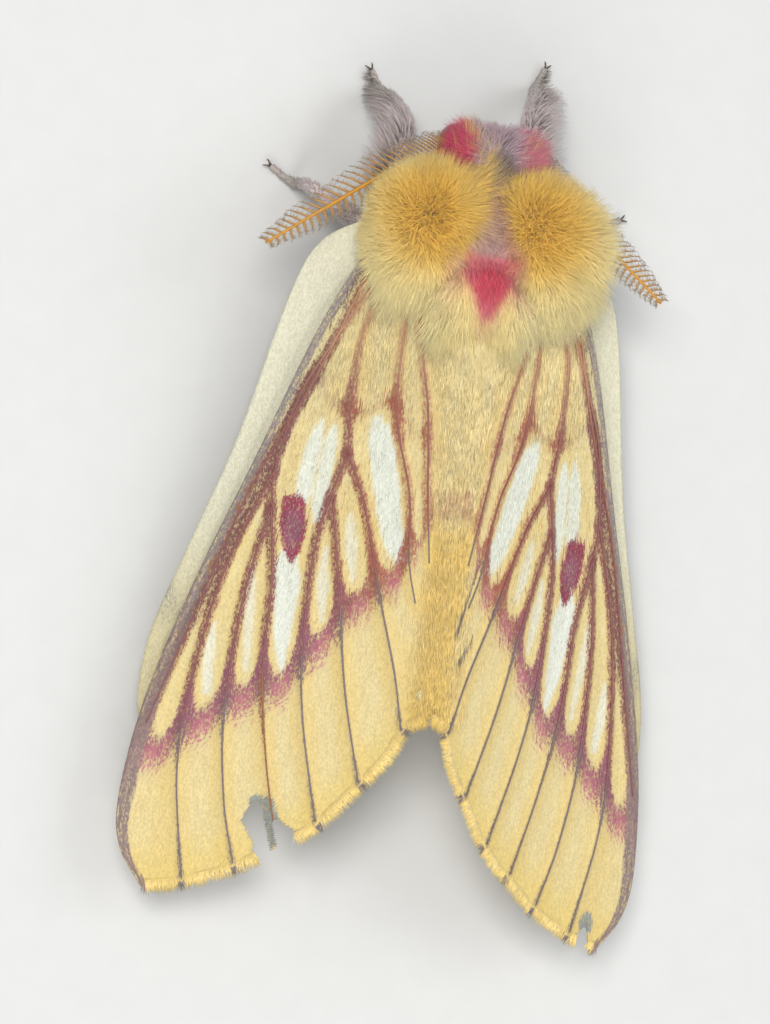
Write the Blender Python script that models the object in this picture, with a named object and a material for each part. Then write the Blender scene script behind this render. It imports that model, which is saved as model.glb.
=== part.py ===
"""A yellow saturniid moth, a male at rest, life size and still.

The wings are folded as a low roof over the abdomen, the left one spread a little wider. The body
lies along Y with the head at +Y, the moth's right is +X, and the six feet and the tip of the
abdomen rest on the floor at Z = 0. Lengths below are in millimetres.
"""

import math

import bmesh
import bpy
import numpy as np
from mathutils.geometry import delaunay_2d_cdt

MM = 0.001
GAP = 0.3
# The modelled animal is moved by this so that its box is centred on the origin.
PLACE = np.array((1.0, -2.5, 0.0))
RANDOM = np.random.default_rng(7)

# The roof that the wings lie in: s runs out from the ridge along the slope, b back along the ridge.
RIDGE_FRONT = 1.7
RIDGE_HEIGHT = 10.5
RIDGE_FALL = 0.0137
RIDGE_SLOPE = 0.514
RIDGE_GAP = 0.18
SLOPE_LOSS = 0.0134

# The right wing pair is folded further back than the left, turned about this point of the roof.
FOLD_ANGLE = 0.091
FOLD_PIVOT = (4.5, -6.0)
FOLD_SHIFT = (0.41, 0.23)

# Thorax core
THORAX_CENTRE = np.array((0.0, 15.3, 6.1))
THORAX_HALF = np.array((4.3, 5.2, 4.6))
THORAX_POWER = 2.6
THORAX_REAR = 10.6
THORAX_FRONT = 20.0

# Its coat, in layers from the lowest up. Each has the place of its roots down the side, in degrees
# from the top, the roots' first and last place along the body, the number of locks on each side,
# and their length, width, rise and fall. Along a row the locks fan from the front to the rear.
LOCK_LAYERS = (
    (45, 18.9, 13.4, 8, 5.3, 1.9, -0.05, 0.32),
    (34, 19.2, 13.4, 8, 4.7, 1.8, 0.30, 0.55),
    (23, 19.3, 13.6, 7, 4.1, 1.7, 0.85, 0.95),
    (10, 19.1, 13.8, 6, 3.4, 1.6, 1.15, 1.15),
)
FAN = (58, -34)
LOCK_THICKNESS = 0.62
LOCK_SINK = 0.4
TUFT_ROOTS = ((-0.8, 15.3), (0.8, 15.1), (0.0, 14.8), (-1.1, 14.0), (1.1, 13.9), (0.0, 13.5),
              (-0.6, 12.8), (0.6, 12.7))
TUFT_LENGTH = 2.7

# Abdomen
ABDOMEN_LENGTH = 18.5
ABDOMEN_HALF_WIDTH = 3.4
ABDOMEN_HALF_HEIGHT = 2.9
ABDOMEN_SEGMENTS = 8

# Head
HEAD_CENTRE = np.array((0.8, 22.1, 6.3))
HEAD_HALF = np.array((2.1, 1.9, 2.2))
HEAD_POWER = 2.4
HEAD_SIDE = 1.75
EYE_RADIUS = 1.15
EYE_BULGE = 0.95

FACE_ROWS = (0.75, 1.25)
FACE_ANGLES = (-100, -72, -46, -22, 0, 22, 46, 72, 100)
FACE_LENGTH = 1.7

# Antennae
RAYS = 11
RAY_OUTER = 1.45
RAY_INNER = 1.15
ANTENNA_PATHS = {
    -1: ((-0.7, 23.0, 8.75), (-2.6, 22.2, 8.75), (-5.7, 19.9, 8.3), (-9.2, 17.1, 7.8),
         (-12.4, 14.6, 7.3)),
    1: ((2.3, 23.0, 8.75), (3.8, 22.1, 8.7), (6.5, 19.3, 8.4), (9.4, 16.6, 7.9),
        (12.1, 14.3, 7.4)),
}

# Each leg leaves the thorax at a place along it and a height, then bends at knee and ankle.
LEG_ROOT_HEIGHT = 3.6
LEGS = {
    "foreleg": (18.4, {-1: ((-4.3, 20.6, 3.7), (-3.6, 23.2, 3.5), (-4.2, 25.2, 2.0),
                            (-4.7, 26.0, 0.32), (-5.4, 27.2, 0.3)),
                       1: ((4.4, 20.8, 3.7), (4.0, 24.3, 3.6), (4.7, 26.9, 2.1),
                           (5.1, 27.5, 0.32), (5.7, 28.95, 0.3))}),
    "midleg": (15.9, {-1: ((-6.4, 17.2, 4.2), (-8.9, 19.0, 2.6), (-9.7, 19.6, 0.32),
                           (-11.1, 20.4, 0.3)),
                      1: ((6.4, 17.2, 4.2), (8.8, 18.8, 2.6), (9.6, 19.3, 0.32),
                          (11.5, 20.2, 0.3))}),
    "hindleg": (13.0, {-1: ((-6.0, 10.6, 3.9), (-7.6, 6.8, 2.6), (-8.0, 5.8, 0.32),
                            (-8.5, 3.6, 0.3)),
                       1: ((6.0, 10.6, 3.9), (7.5, 6.8, 2.6), (7.9, 5.8, 0.32),
                           (8.4, 3.6, 0.3))}),
}

# Locks on each leg: where along it, on its outer or inner side, and how long
FRINGES = {
    "foreleg": (*((0.30 + 0.062 * i, 1, 1.8 - 0.07 * i) for i in range(8)),
                (0.36, -1, 1.1), (0.48, -1, 1.1), (0.60, -1, 0.9)),
    "midleg": (*((0.30 + 0.09 * i, 1, 1.3 - 0.05 * i) for i in range(5)),
               (0.40, -1, 1.0), (0.55, -1, 0.9)),
    "hindleg": (),
}

# Wings
WING_ROOT_HEIGHT = 7.9
WING_THICKNESS = 0.5
VEIN_RISE = 0.25
VEIN_HALF_WIDTH = 0.32
COAT_FREE_WIDTH = 2.2
COAT_HEIGHT = VEIN_RISE + 1.9 * GAP
ANTENNA_HALF_WIDTH = 1.8
OVER_ANTENNA = 0.38 + 1.4 * GAP
OVER_HEAD = 9.6
HINDWING_LIFT = -1.05

FOREWING_COSTA = ((4.3, -16.7), (7.0, -13.4), (9.6, -8.2), (12.6, -0.1), (15.0, 6.3),
                  (17.4, 13.9), (18.4, 19.9), (18.1, 23.0), (16.6, 25.3))
FOREWING_OUTER = ((16.6, 25.3), (14.3, 24.9), (11.3, 23.8), (8.8, 22.3), (6.7, 20.9),
                  (4.5, 18.5), (2.9, 16.6), (1.9, 14.7))
HINDWING_COSTA = ((5.6, -15.4), (7.8, -14.9), (9.9, -13.4), (11.3, -10.0), (13.4, -1.7),
                  (15.7, 5.2), (17.4, 10.6), (17.6, 15.0))
HINDWING_OUTER = ((17.6, 15.0), (16.0, 18.6), (12.5, 20.6), (8.0, 20.4), (4.6, 18.9),
                  (2.7, 18.2), (1.6, 16.9), (0.9, 15.9))
# What is torn out of each forewing's outer margin, left and right
TEARS = {
    -1: ((9.9, 23.0), (10.2, 22.0), (11.0, 20.8), (10.6, 19.8), (9.8, 19.9), (9.2, 20.6), (7.9, 21.4)),
    1: ((16.2, 25.4), (15.5, 23.8), (14.7, 25.1)),
}

FOREWING_VEINS = {
    "first_radial": ((6.9, -12.0), (9.2, -6.0), (12.6, 1.4), (15.0, 8.6), (17.3, 15.8)),
    "radial_stem": ((6.4, -11.6), (8.6, -7.6), (10.3, -4.2), (11.3, 0.2), (11.3, 2.4)),
    "upper_fork": ((11.3, 0.2), (13.6, 6.2), (15.0, 13.6), (15.2, 18.6), (14.3, 24.6)),
    "middle_fork": ((11.3, 2.4), (12.4, 8.2), (12.8, 14.8), (12.3, 19.8), (11.4, 23.4)),
    "lower_fork": ((11.3, 2.4), (10.8, 6.9), (10.8, 12.0), (10.1, 17.1), (9.0, 22.0)),
    "cubital_stem": ((5.8, -12.3), (6.9, -8.3), (7.2, -4.6), (7.1, -1.1)),
    "upper_cubital": ((7.1, -1.1), (8.4, 4.1), (8.6, 10.4), (8.1, 15.0), (6.8, 20.6)),
    "middle_cubital": ((7.7, 1.7), (6.7, 7.5), (5.8, 13.0), (4.5, 18.1)),
    "lower_cubital": ((7.1, -1.1), (5.8, 1.9), (4.3, 7.3), (3.0, 11.6), (2.3, 14.8)),
    "anal": ((3.6, -8.0), (2.6, -4.0), (2.1, 0.9), (1.5, 6.0), (0.9, 11.0)),
}
HINDWING_VEINS = {
    "costal": ((6.8, -13.2), (9.8, -9.0), (13.0, 0.0), (16.6, 11.5)),
    "radial": ((6.6, -11.5), (10.0, -3.0), (13.0, 6.0), (15.4, 17.2)),
    "medial": ((6.0, -9.0), (8.8, 0.0), (10.8, 9.0), (11.6, 19.6)),
    "cubital": ((5.4, -8.0), (6.6, 0.0), (7.2, 9.0), (7.6, 19.4)),
    "anal": ((4.6, -7.0), (3.8, 1.0), (3.4, 9.0), (3.0, 17.4)),
}

YELLOW = (0.80, 0.58, 0.13)
CREAM = (0.86, 0.74, 0.42)
GOLD = (0.72, 0.45, 0.07)
ORANGE = (0.60, 0.28, 0.06)
LILAC = (0.42, 0.27, 0.33)
GREY = (0.22, 0.18, 0.20)
DARK = (0.02, 0.015, 0.012)


# Making solids

def loft(rings):
    """Closed skin over a row of rings of points. A ring of one point closes it to a tip."""
    points = []
    starts = []
    faces = []
    for ring in rings:
        starts.append(len(points))
        points.extend(np.asarray(ring, float).reshape(-1, 3))
    for first, second, start, after in zip(rings, rings[1:], starts, starts[1:]):
        count = max(len(first), len(second))
        for i in range(count):
            j = (i + 1) % count
            if len(first) == 1:
                faces.append((start, after + j, after + i))
            elif len(second) == 1:
                faces.append((start + i, start + j, after))
            else:
                faces.append((start + i, start + j, after + j, after + i))
    if len(rings[0]) > 1:
        faces.append(tuple(range(len(rings[0])))[::-1])
    if len(rings[-1]) > 1:
        faces.append(tuple(range(starts[-1], starts[-1] + len(rings[-1]))))
    return np.array(points), faces


def finish(name, colour, roughness, points, faces):
    """The named object of one closed skin, with its faces triangulated and pointing out."""
    mesh = bpy.data.meshes.new(name)
    mesh.from_pydata([tuple(p) for p in (np.asarray(points) + PLACE) * MM], [], faces)
    shape = bmesh.new()
    shape.from_mesh(mesh)
    bmesh.ops.triangulate(shape, faces=shape.faces[:])
    bmesh.ops.recalc_face_normals(shape, faces=shape.faces[:])
    shape.to_mesh(mesh)
    shape.free()
    mesh.shade_smooth()
    mesh.set_sharp_from_angle(angle=math.radians(40))
    material = bpy.data.materials.new(name)
    material.use_nodes = True
    shader = material.node_tree.nodes["Principled BSDF"]
    shader.inputs["Base Color"].default_value = (*colour, 1.0)
    shader.inputs["Roughness"].default_value = roughness
    mesh.materials.append(material)
    made = bpy.data.objects.new(name, mesh)
    bpy.context.scene.collection.objects.link(made)
    return made


def islands(shape):
    """The separate surfaces of a bmesh, as lists of faces."""
    unseen = set(shape.faces)
    while unseen:
        stack = [unseen.pop()]
        found = []
        while stack:
            face = stack.pop()
            found.append(face)
            for edge in face.edges:
                for other in edge.link_faces:
                    if other in unseen:
                        unseen.remove(other)
                        stack.append(other)
        yield found


def fused(name, colour, roughness, pieces):
    """One closed object from overlapping closed pieces: a Boolean union, then its largest surface."""
    made = finish(name, colour, roughness, *pieces[0])
    group = bpy.data.collections.new(name + "_pieces")
    bpy.context.scene.collection.children.link(group)
    for number, piece in enumerate(pieces[1:]):
        other = finish(f"{name}_piece_{number}", colour, roughness, *piece)
        bpy.context.scene.collection.objects.unlink(other)
        group.objects.link(other)
    union = made.modifiers.new("Fuse", "BOOLEAN")
    union.operation = "UNION"
    union.operand_type = "COLLECTION"
    union.collection = group
    union.solver = "MANIFOLD"
    bpy.context.view_layer.update()
    graph = bpy.context.evaluated_depsgraph_get()
    shape = bmesh.new()
    shape.from_mesh(made.evaluated_get(graph).to_mesh())
    made.modifiers.clear()
    for other in list(group.objects):
        bpy.data.objects.remove(other)
    bpy.data.collections.remove(group)
    bmesh.ops.triangulate(shape, faces=shape.faces[:])
    surfaces = sorted(islands(shape), key=len)
    spare = [face for surface in surfaces[:-1] for face in surface]
    bmesh.ops.delete(shape, geom=spare, context="FACES")
    shape.to_mesh(made.data)
    shape.free()
    made.data.shade_smooth()
    made.data.set_sharp_from_angle(angle=math.radians(40))
    return made


def unit(vector):
    return np.asarray(vector, float) / np.linalg.norm(vector)


def smooth_path(points, count):
    """Points along a smooth curve through the given ones, in any number of dimensions."""
    points = np.array(points, float)
    padded = np.vstack((2 * points[0] - points[1], points, 2 * points[-1] - points[-2]))
    spans = len(points) - 1
    out = []
    for place in np.linspace(0, spans, count):
        i = min(int(place), spans - 1)
        t = place - i
        p0, p1, p2, p3 = padded[i:i + 4]
        out.append(0.5 * (2 * p1 + (p2 - p0) * t + (2 * p0 - 5 * p1 + 4 * p2 - p3) * t * t
                          + (3 * p1 - 3 * p2 + p3 - p0) * t ** 3))
    return np.array(out)


def directions(path):
    steps = np.gradient(np.asarray(path), axis=0)
    return steps / np.linalg.norm(steps, axis=1, keepdims=True)


def tube_rings(path, radii, sides):
    """Round rings along a path. Each ring starts at the same side, so the tube isn't twisted."""
    rings = []
    for centre, along, radius in zip(path, directions(path), radii):
        across = unit(np.cross(along, (0.0, 0.0, 1.0)) + (1e-6, 0.0, 0.0))
        over = np.cross(across, along)
        angles = 2 * np.pi * (np.arange(sides) + 0.5) / sides
        rings.append(centre + radius * (np.outer(np.cos(angles), across)
                                        + np.outer(np.sin(angles), over)))
    return rings


def egg(centre, half, power, rings, sides):
    """A superellipsoid with its poles on Y, as rings from the rear pole to the front one."""
    out = [[centre - (0.0, half[1], 0.0)]]
    for tilt in np.pi * np.arange(1, rings) / rings:
        y = -np.cos(tilt)
        reach = (1 - abs(y) ** power) ** (1 / power)
        ring = []
        for angle in 2 * np.pi * (np.arange(sides) + 0.5) / sides:
            c, s = np.cos(angle), np.sin(angle)
            size = reach / (abs(c) ** power + abs(s) ** power) ** (1 / power)
            ring.append(centre + half * (c * size, y, s * size))
        out.append(ring)
    out.append([centre + (0.0, half[1], 0.0)])
    return out


# The wings' roof

def slope(s):
    return RIDGE_SLOPE - SLOPE_LOSS * s


def across(s):
    """How far from the middle plane a point at s lies."""
    return (np.sin(RIDGE_SLOPE) - np.sin(slope(s))) / SLOPE_LOSS


def roof_height(s, b):
    drop = (np.cos(slope(s)) - np.cos(RIDGE_SLOPE)) / SLOPE_LOSS
    return RIDGE_HEIGHT - drop - RIDGE_FALL * b


def roof(side, s, b, lift):
    return (side * across(s), RIDGE_FRONT - b, roof_height(s, b) + lift / np.cos(slope(s)))


def roof_over(x, y):
    """Height of the roof above a place, from its distance to the middle plane."""
    angle = np.arcsin(np.sin(RIDGE_SLOPE) - SLOPE_LOSS * abs(x))
    return roof_height((RIDGE_SLOPE - angle) / SLOPE_LOSS, RIDGE_FRONT - y)


def folded(side, points):
    """Points of the wing's plan in their place on the roof. The plan is the left wing's."""
    points = np.array(points, float)
    if side < 0:
        return points
    turn = np.array(((math.cos(FOLD_ANGLE), math.sin(FOLD_ANGLE)),
                     (-math.sin(FOLD_ANGLE), math.cos(FOLD_ANGLE))))
    return (points - FOLD_PIVOT) @ turn + FOLD_PIVOT + FOLD_SHIFT


def thorax_half_width(y, z):
    """Half width of the thorax core at a height and a place along it, or 0 past its ends."""
    rest = (1 - abs((y - THORAX_CENTRE[1]) / THORAX_HALF[1]) ** THORAX_POWER
            - abs((z - THORAX_CENTRE[2]) / THORAX_HALF[2]) ** THORAX_POWER)
    if rest <= 0:
        return 0.0
    return THORAX_HALF[0] * rest ** (1 / THORAX_POWER)


def coat_floor(x, y):
    """The lowest that the thorax's locks may lie over a place: over the wings, antennae and head."""
    floor = 0.0
    if abs(x) > COAT_FREE_WIDTH or y < THORAX_REAR + 2 * GAP:
        floor = roof_over(x, y) + COAT_HEIGHT
    for path in ANTENNA_PATHS.values():
        spots = smooth_path(path, 12)
        away = np.hypot(spots[:, 0] - x, spots[:, 1] - y)
        if away.min() < ANTENNA_HALF_WIDTH:
            floor = max(floor, spots[away.argmin(), 2] + OVER_ANTENNA)
    if y > THORAX_FRONT - GAP:
        floor = max(floor, OVER_HEAD)
    return floor


def root_edge(lift, front, steps=9):
    """The wing's inner edge round the thorax, at a gap from it, from the hinge back to the ridge."""
    edge = []
    height = WING_ROOT_HEIGHT + lift
    for y in np.linspace(RIDGE_FRONT - front, THORAX_REAR, steps):
        x = thorax_half_width(y, height) + 1.2 * GAP
        angle = math.asin(math.sin(RIDGE_SLOPE) - SLOPE_LOSS * x)
        edge.append(((RIDGE_SLOPE - angle) / SLOPE_LOSS, RIDGE_FRONT - y))
    last = edge[-1][0]
    rear = RIDGE_FRONT - THORAX_REAR + 1.2 * GAP
    return edge + [(last, rear), (0.5 * last, rear), (RIDGE_GAP, rear)]


def distance_to(point, line):
    """Distance from a point to a line of points, in the plan."""
    start, end = line[:-1], line[1:]
    along = end - start
    place = ((point - start) * along).sum(1) / (along ** 2).sum(1)
    nearest = start + along * np.clip(place, 0, 1)[:, None]
    return np.sqrt(((point - nearest) ** 2).sum(1)).min()


def torn(margin, tear):
    """The margin with a stretch of it replaced by the edge of a tear."""
    before = [p for p in margin if p[0] > tear[0][0] + 0.1]
    after = [p for p in margin if p[0] < tear[-1][0] - 0.1]
    return before + list(tear) + after


def wing(name, side, colour, lift, costa, outer, veins, tear=()):
    """A thin sheet on the roof with its veins raised in its upper face, cut alike on both faces."""
    margin = list(smooth_path(outer, 18))
    if tear:
        margin = torn(margin, tear)
    outline = folded(side, list(smooth_path(costa, 22))[:-1] + margin)
    outline[:, 0] = np.maximum(outline[:, 0], RIDGE_GAP)
    edge = root_edge(lift, outline[0][1] + 0.6)
    ridge = [(RIDGE_GAP, b) for b in np.linspace(outline[-1][1] - 0.5, edge[-1][1], 7)[:-1]]
    outline = np.array(list(outline) + ridge + edge[::-1])
    lines = []
    for points in veins.values():
        line = folded(side, smooth_path(points, 9))
        lines.append(line[line[:, 0] > 3 * VEIN_HALF_WIDTH])
    spots = list(outline)
    edges = [(i, (i + 1) % len(outline)) for i in range(len(outline))]
    for line in lines:
        along = directions(line)
        beside = np.stack((-along[:, 1], along[:, 0]), axis=1) * VEIN_HALF_WIDTH
        for row in (line, line + beside, line - beside):
            edges += [(len(spots) + i, len(spots) + i + 1) for i in range(len(row) - 1)]
            spots += list(row)
    flat, _, faces, _, _, _ = delaunay_2d_cdt(
        [tuple(p) for p in spots], edges, [list(range(len(outline)))], 1, 0.02)
    top = []
    bottom = []
    for s, b in flat:
        near = min(distance_to(np.array((s, b)), line) for line in lines)
        rise = VEIN_RISE * max(0.0, 1 - near / VEIN_HALF_WIDTH)
        top.append(roof(side, s, b, lift + rise))
        bottom.append(roof(side, s, b, lift - WING_THICKNESS))
    count = len(top)
    uses = {}
    for face in faces:
        for i, j in zip(face, face[1:] + face[:1]):
            uses.setdefault(frozenset((i, j)), []).append((i, j))
    skin = [tuple(face) for face in faces]
    skin += [tuple(i + count for i in face)[::-1] for face in faces]
    for use in uses.values():
        if len(use) == 1:
            i, j = use[0]
            skin.append((j, i, i + count))
            skin.append((j, i + count, j + count))
    return finish(name, colour, 0.85, np.array(top + bottom), skin)


# Body

def lock(root, lie, length, width, thick, rise, fall, floor=None):
    """A flat tapered lock of hair that leaves its root along its lie, rises a little and then falls."""
    lie = unit(lie)
    beside = unit(np.cross(lie, (0.0, 0.0, 1.0)))
    up = np.cross(beside, lie)
    stations = ((0.0, 0.75, 0.9), (0.42, 1.0, 1.0), (0.76, 0.66, 0.8))
    centres = []
    for t, wide, _ in (*stations, (1.0, 0.0, 0.0)):
        centre = root + length * (lie * t + up * (rise * t - fall * t * t))
        if floor and t > 0:
            half = beside * width * wide / 2
            low = max(floor(*centre[:2]) + thick / 2, floor(*(centre + half)[:2]),
                      floor(*(centre - half)[:2]))
            centre[2] = max(centre[2], low)
        centres.append(centre)
    rings = []
    for (_, wide, deep), centre, along in zip(stations, centres, directions(centres)):
        over = unit(np.cross(beside, along))
        half = beside * width * wide / 2
        height = over * thick * deep / 2
        rings.append([centre + half, centre + height, centre - half, centre - height])
    rings.append([centres[-1]])
    return loft(rings)


def on_egg(centre, half, power, up_angle, y):
    """A point of a superellipsoid's skin at an angle from straight up, and the outward direction."""
    place = (y - centre[1]) / half[1]
    reach = (1 - abs(place) ** power) ** (1 / power)
    c, s = math.sin(up_angle), math.cos(up_angle)
    size = reach / (abs(c) ** power + abs(s) ** power) ** (1 / power)
    spot = np.array((c * size, place, s * size))
    outward = np.sign(spot) * np.abs(spot) ** (power - 1) / half
    return centre + half * spot, unit(outward)


def make_thorax():
    """Two great lobes of hair that part on the midline, fan outward, and meet in a rear tuft."""
    rings = egg(THORAX_CENTRE, THORAX_HALF, THORAX_POWER, 12, 16)
    rings = [[np.clip(p, (-9, THORAX_REAR, 0), (9, THORAX_FRONT, 20)) for p in ring]
             for ring in rings[1:-1]]
    pieces = [loft(rings)]
    skin = (THORAX_CENTRE, THORAX_HALF, THORAX_POWER)
    for angle, front, rear, count, length, width, rise, fall in LOCK_LAYERS:
        for side in (-1, 1):
            for number in range(count):
                wander = RANDOM.uniform(-1, 1, 4)
                place = number / (count - 1)
                y = front + (rear - front) * place + 0.2 * wander[0]
                root, outward = on_egg(*skin, side * math.radians(angle + 2 * wander[1]), y)
                turn = math.radians(FAN[0] + (FAN[1] - FAN[0]) * place + 5 * wander[2])
                lie = (side * math.cos(turn), math.sin(turn), 0.0)
                pieces.append(lock(root - outward * LOCK_SINK, lie, length * (1 + 0.07 * wander[3]),
                                   width, LOCK_THICKNESS, rise, fall, coat_floor))
    for x, y in TUFT_ROOTS:
        root, outward = on_egg(*skin, math.atan2(x, THORAX_HALF[2]), y)
        pieces.append(lock(root - outward * LOCK_SINK, (0.08 * x, -1.0, 0.0), TUFT_LENGTH, 1.4,
                           LOCK_THICKNESS, 0.7, 0.6, coat_floor))
    return fused("thorax", GOLD, 0.9, pieces)


def make_abdomen():
    """Tapering rings: each segment is a little wider at its front than at its rear."""
    rings = []
    front = THORAX_REAR - GAP
    for number in range(ABDOMEN_SEGMENTS):
        for place, swell in ((0.0, 0.95), (0.25, 1.0), (1.0, 0.94)):
            t = (number + place * 0.92) / ABDOMEN_SEGMENTS
            width = ABDOMEN_HALF_WIDTH * swell * (0.80 + 0.55 * t - 1.05 * t ** 2 + 0.1 * t ** 3)
            height = width * ABDOMEN_HALF_HEIGHT / ABDOMEN_HALF_WIDTH
            centre = np.array((0.0, front - ABDOMEN_LENGTH * t, 5.3 - 4.65 * t + 0.3 * t * t))
            angles = 2 * np.pi * (np.arange(12) + 0.5) / 12
            ring = centre + np.stack((width * np.cos(angles), 0 * angles,
                                      height * np.sin(angles)), axis=1)
            ring[:, 2] = np.maximum(ring[:, 2], 0.0)
            rings.append(ring)
    end = rings[-1]
    middle = end.mean(axis=0)
    rings.append(middle + (end - middle) * 0.6 - (0.0, 0.5, 0.0))
    rings.append([middle - (0.0, 0.75, 0.0)])
    return finish("abdomen", YELLOW, 0.9, *loft(rings))


def make_head():
    """The head with its palps. Its front and top carry short tufts that point forward and out."""
    rings = egg(HEAD_CENTRE, HEAD_HALF, HEAD_POWER, 10, 14)
    low = HEAD_CENTRE - (HEAD_SIDE, 9, 9)
    high = HEAD_CENTRE + (HEAD_SIDE, 9, 9)
    low[1] = THORAX_FRONT + GAP
    rings = [[np.clip(p, low, high) for p in ring] for ring in rings[1:-1]]
    pieces = [loft(rings)]
    for side in (-1, 1):
        joints = ((0.6, 0.7, -0.9), (0.8, 1.9, -1.2), (0.8, 2.6, -1.0))
        path = smooth_path([HEAD_CENTRE + (side * x, y, z) for x, y, z in joints], 5)
        pieces.append(loft(tube_rings(path, (0.5, 0.55, 0.55, 0.45, 0.28), 6)))
    skin = (HEAD_CENTRE, HEAD_HALF, HEAD_POWER)
    for row, y in enumerate(FACE_ROWS):
        for angle in np.radians(FACE_ANGLES) * (1 if row % 2 else 0.8):
            root, outward = on_egg(*skin, angle, HEAD_CENTRE[1] + y)
            if abs(root[0] - HEAD_CENTRE[0]) > HEAD_SIDE - 0.45:
                root[0] = HEAD_CENTRE[0] + math.copysign(HEAD_SIDE - 0.45, angle)
            lie = (0.75 * math.sin(angle), 1.0, 0.25 * math.cos(angle))
            length = FACE_LENGTH * RANDOM.uniform(0.85, 1.1)
            piece = lock(root - outward * 0.45, lie, length, 0.95, 0.5, 0.15, 0.15)
            points = np.minimum(piece[0], (99, 99, OVER_HEAD - 1.6 * GAP))
            pieces.append((points, piece[1]))
    return fused("head", LILAC, 0.9, pieces)


def make_eye(side):
    """A dome whose flat base faces the flat side of the head."""
    rings = []
    base = HEAD_CENTRE + (side * (HEAD_SIDE + 1.5 * GAP), 0.2, 0.1)
    for rise in np.radians((0, 25, 50, 72)):
        angles = 2 * np.pi * np.arange(14) / 14
        rings.append([base + (side * EYE_BULGE * math.sin(rise),
                              EYE_RADIUS * math.cos(rise) * math.cos(a),
                              EYE_RADIUS * math.cos(rise) * math.sin(a)) for a in angles])
    rings.append([base + (side * EYE_BULGE, 0.0, 0.0)])
    name = "eye_right" if side > 0 else "eye_left"
    return finish(name, DARK, 0.15, *loft(rings))


def make_antenna(side):
    """A tapering shaft with a row of rays on each side, longest at the middle, like a feather."""
    path = smooth_path(ANTENNA_PATHS[side], 16)
    along = directions(path)
    rings = tube_rings(path, np.linspace(0.38, 0.2, len(path)), 6)
    pieces = [loft(rings + [[path[-1] + along[-1] * 0.3]])]
    for number in range(RAYS):
        t = (number + 1.6) / (RAYS + 1.2)
        place = t * (len(path) - 1)
        i = min(int(place), len(path) - 2)
        centre = path[i] + (path[i + 1] - path[i]) * (place - i)
        run = along[i]
        beside = unit(np.cross(run, (0.0, 0.0, 1.0)))
        for way, full in ((side, RAY_INNER), (-side, RAY_OUTER)):
            length = full * (0.45 + 0.55 * math.sin(math.pi * t) ** 0.7)
            lie = unit(beside * way + run * 0.45 - np.array((0.0, 0.0, 0.15)))
            rings = []
            for reach, wide, high in ((0.0, 0.26, 0.2), (0.55, 0.23, 0.18)):
                spot = centre + lie * length * reach + run * 0.12 * reach
                rings.append([spot + run * wide, spot + (0, 0, high), spot - run * wide,
                              spot - (0, 0, high)])
            rings.append([centre + lie * length + run * 0.3])
            pieces.append(loft(rings))
    name = "antenna_right" if side > 0 else "antenna_left"
    return fused(name, ORANGE, 0.8, pieces)


def make_leg(kind, side):
    """A bent leg whose last joints lie on the floor, with two claws and a fringe of locks."""
    root_y, joints = LEGS[kind]
    root_x = thorax_half_width(root_y, LEG_ROOT_HEIGHT) + 2.5 * GAP
    start = (side * root_x, root_y, LEG_ROOT_HEIGHT)
    path = smooth_path((start, *joints[side]), 15)
    radii = np.interp(np.linspace(0, 1, 15), (0, 0.2, 0.5, 0.8, 1), (0.5, 0.62, 0.48, 0.36, 0.3))
    along = directions(path)
    pieces = [loft(tube_rings(path, radii, 8))]
    for way in (-1, 1):
        beside = unit(np.cross(along[-1], (0.0, 0.0, 1.0)))
        hook = smooth_path((path[-2], path[-1] + beside * 0.2 * way,
                            path[-1] + along[-1] * 0.5 + beside * 0.45 * way + (0, 0, 0.05),
                            path[-1] + along[-1] * 0.75 + beside * 0.5 * way - (0, 0, 0.15)), 4)
        pieces.append(loft(tube_rings(hook[:3], (0.22, 0.2, 0.13), 4) + [[hook[3]]]))
    for place, way, length in FRINGES[kind]:
        i = int(place * 14)
        beside = unit(np.cross(along[i], (0.0, 0.0, 1.0))) * way * side
        lie = beside * 0.75 + along[i] * 0.8
        pieces.append(lock(path[i] + beside * 0.1, lie, length, 0.95, 0.5, 0.1, 0.1))
    pieces = [(np.maximum(points, (-99, -99, 0.0)), faces) for points, faces in pieces]
    name = f"{kind}_{'right' if side > 0 else 'left'}"
    return fused(name, GREY, 0.85, pieces)


def build():
    for old in list(bpy.data.objects):
        bpy.data.objects.remove(old, do_unlink=True)
    make_thorax()
    make_abdomen()
    make_head()
    for side, word in ((-1, "left"), (1, "right")):
        make_eye(side)
        make_antenna(side)
        for kind in LEGS:
            make_leg(kind, side)
        wing(f"forewing_{word}", side, YELLOW, 0.0, FOREWING_COSTA, FOREWING_OUTER,
             FOREWING_VEINS, TEARS[side])
        wing(f"hindwing_{word}", side, CREAM, HINDWING_LIFT, HINDWING_COSTA, HINDWING_OUTER,
             HINDWING_VEINS)


build()
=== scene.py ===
import math

import bmesh
import bpy
import numpy as np
from mathutils import Matrix, Vector


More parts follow.
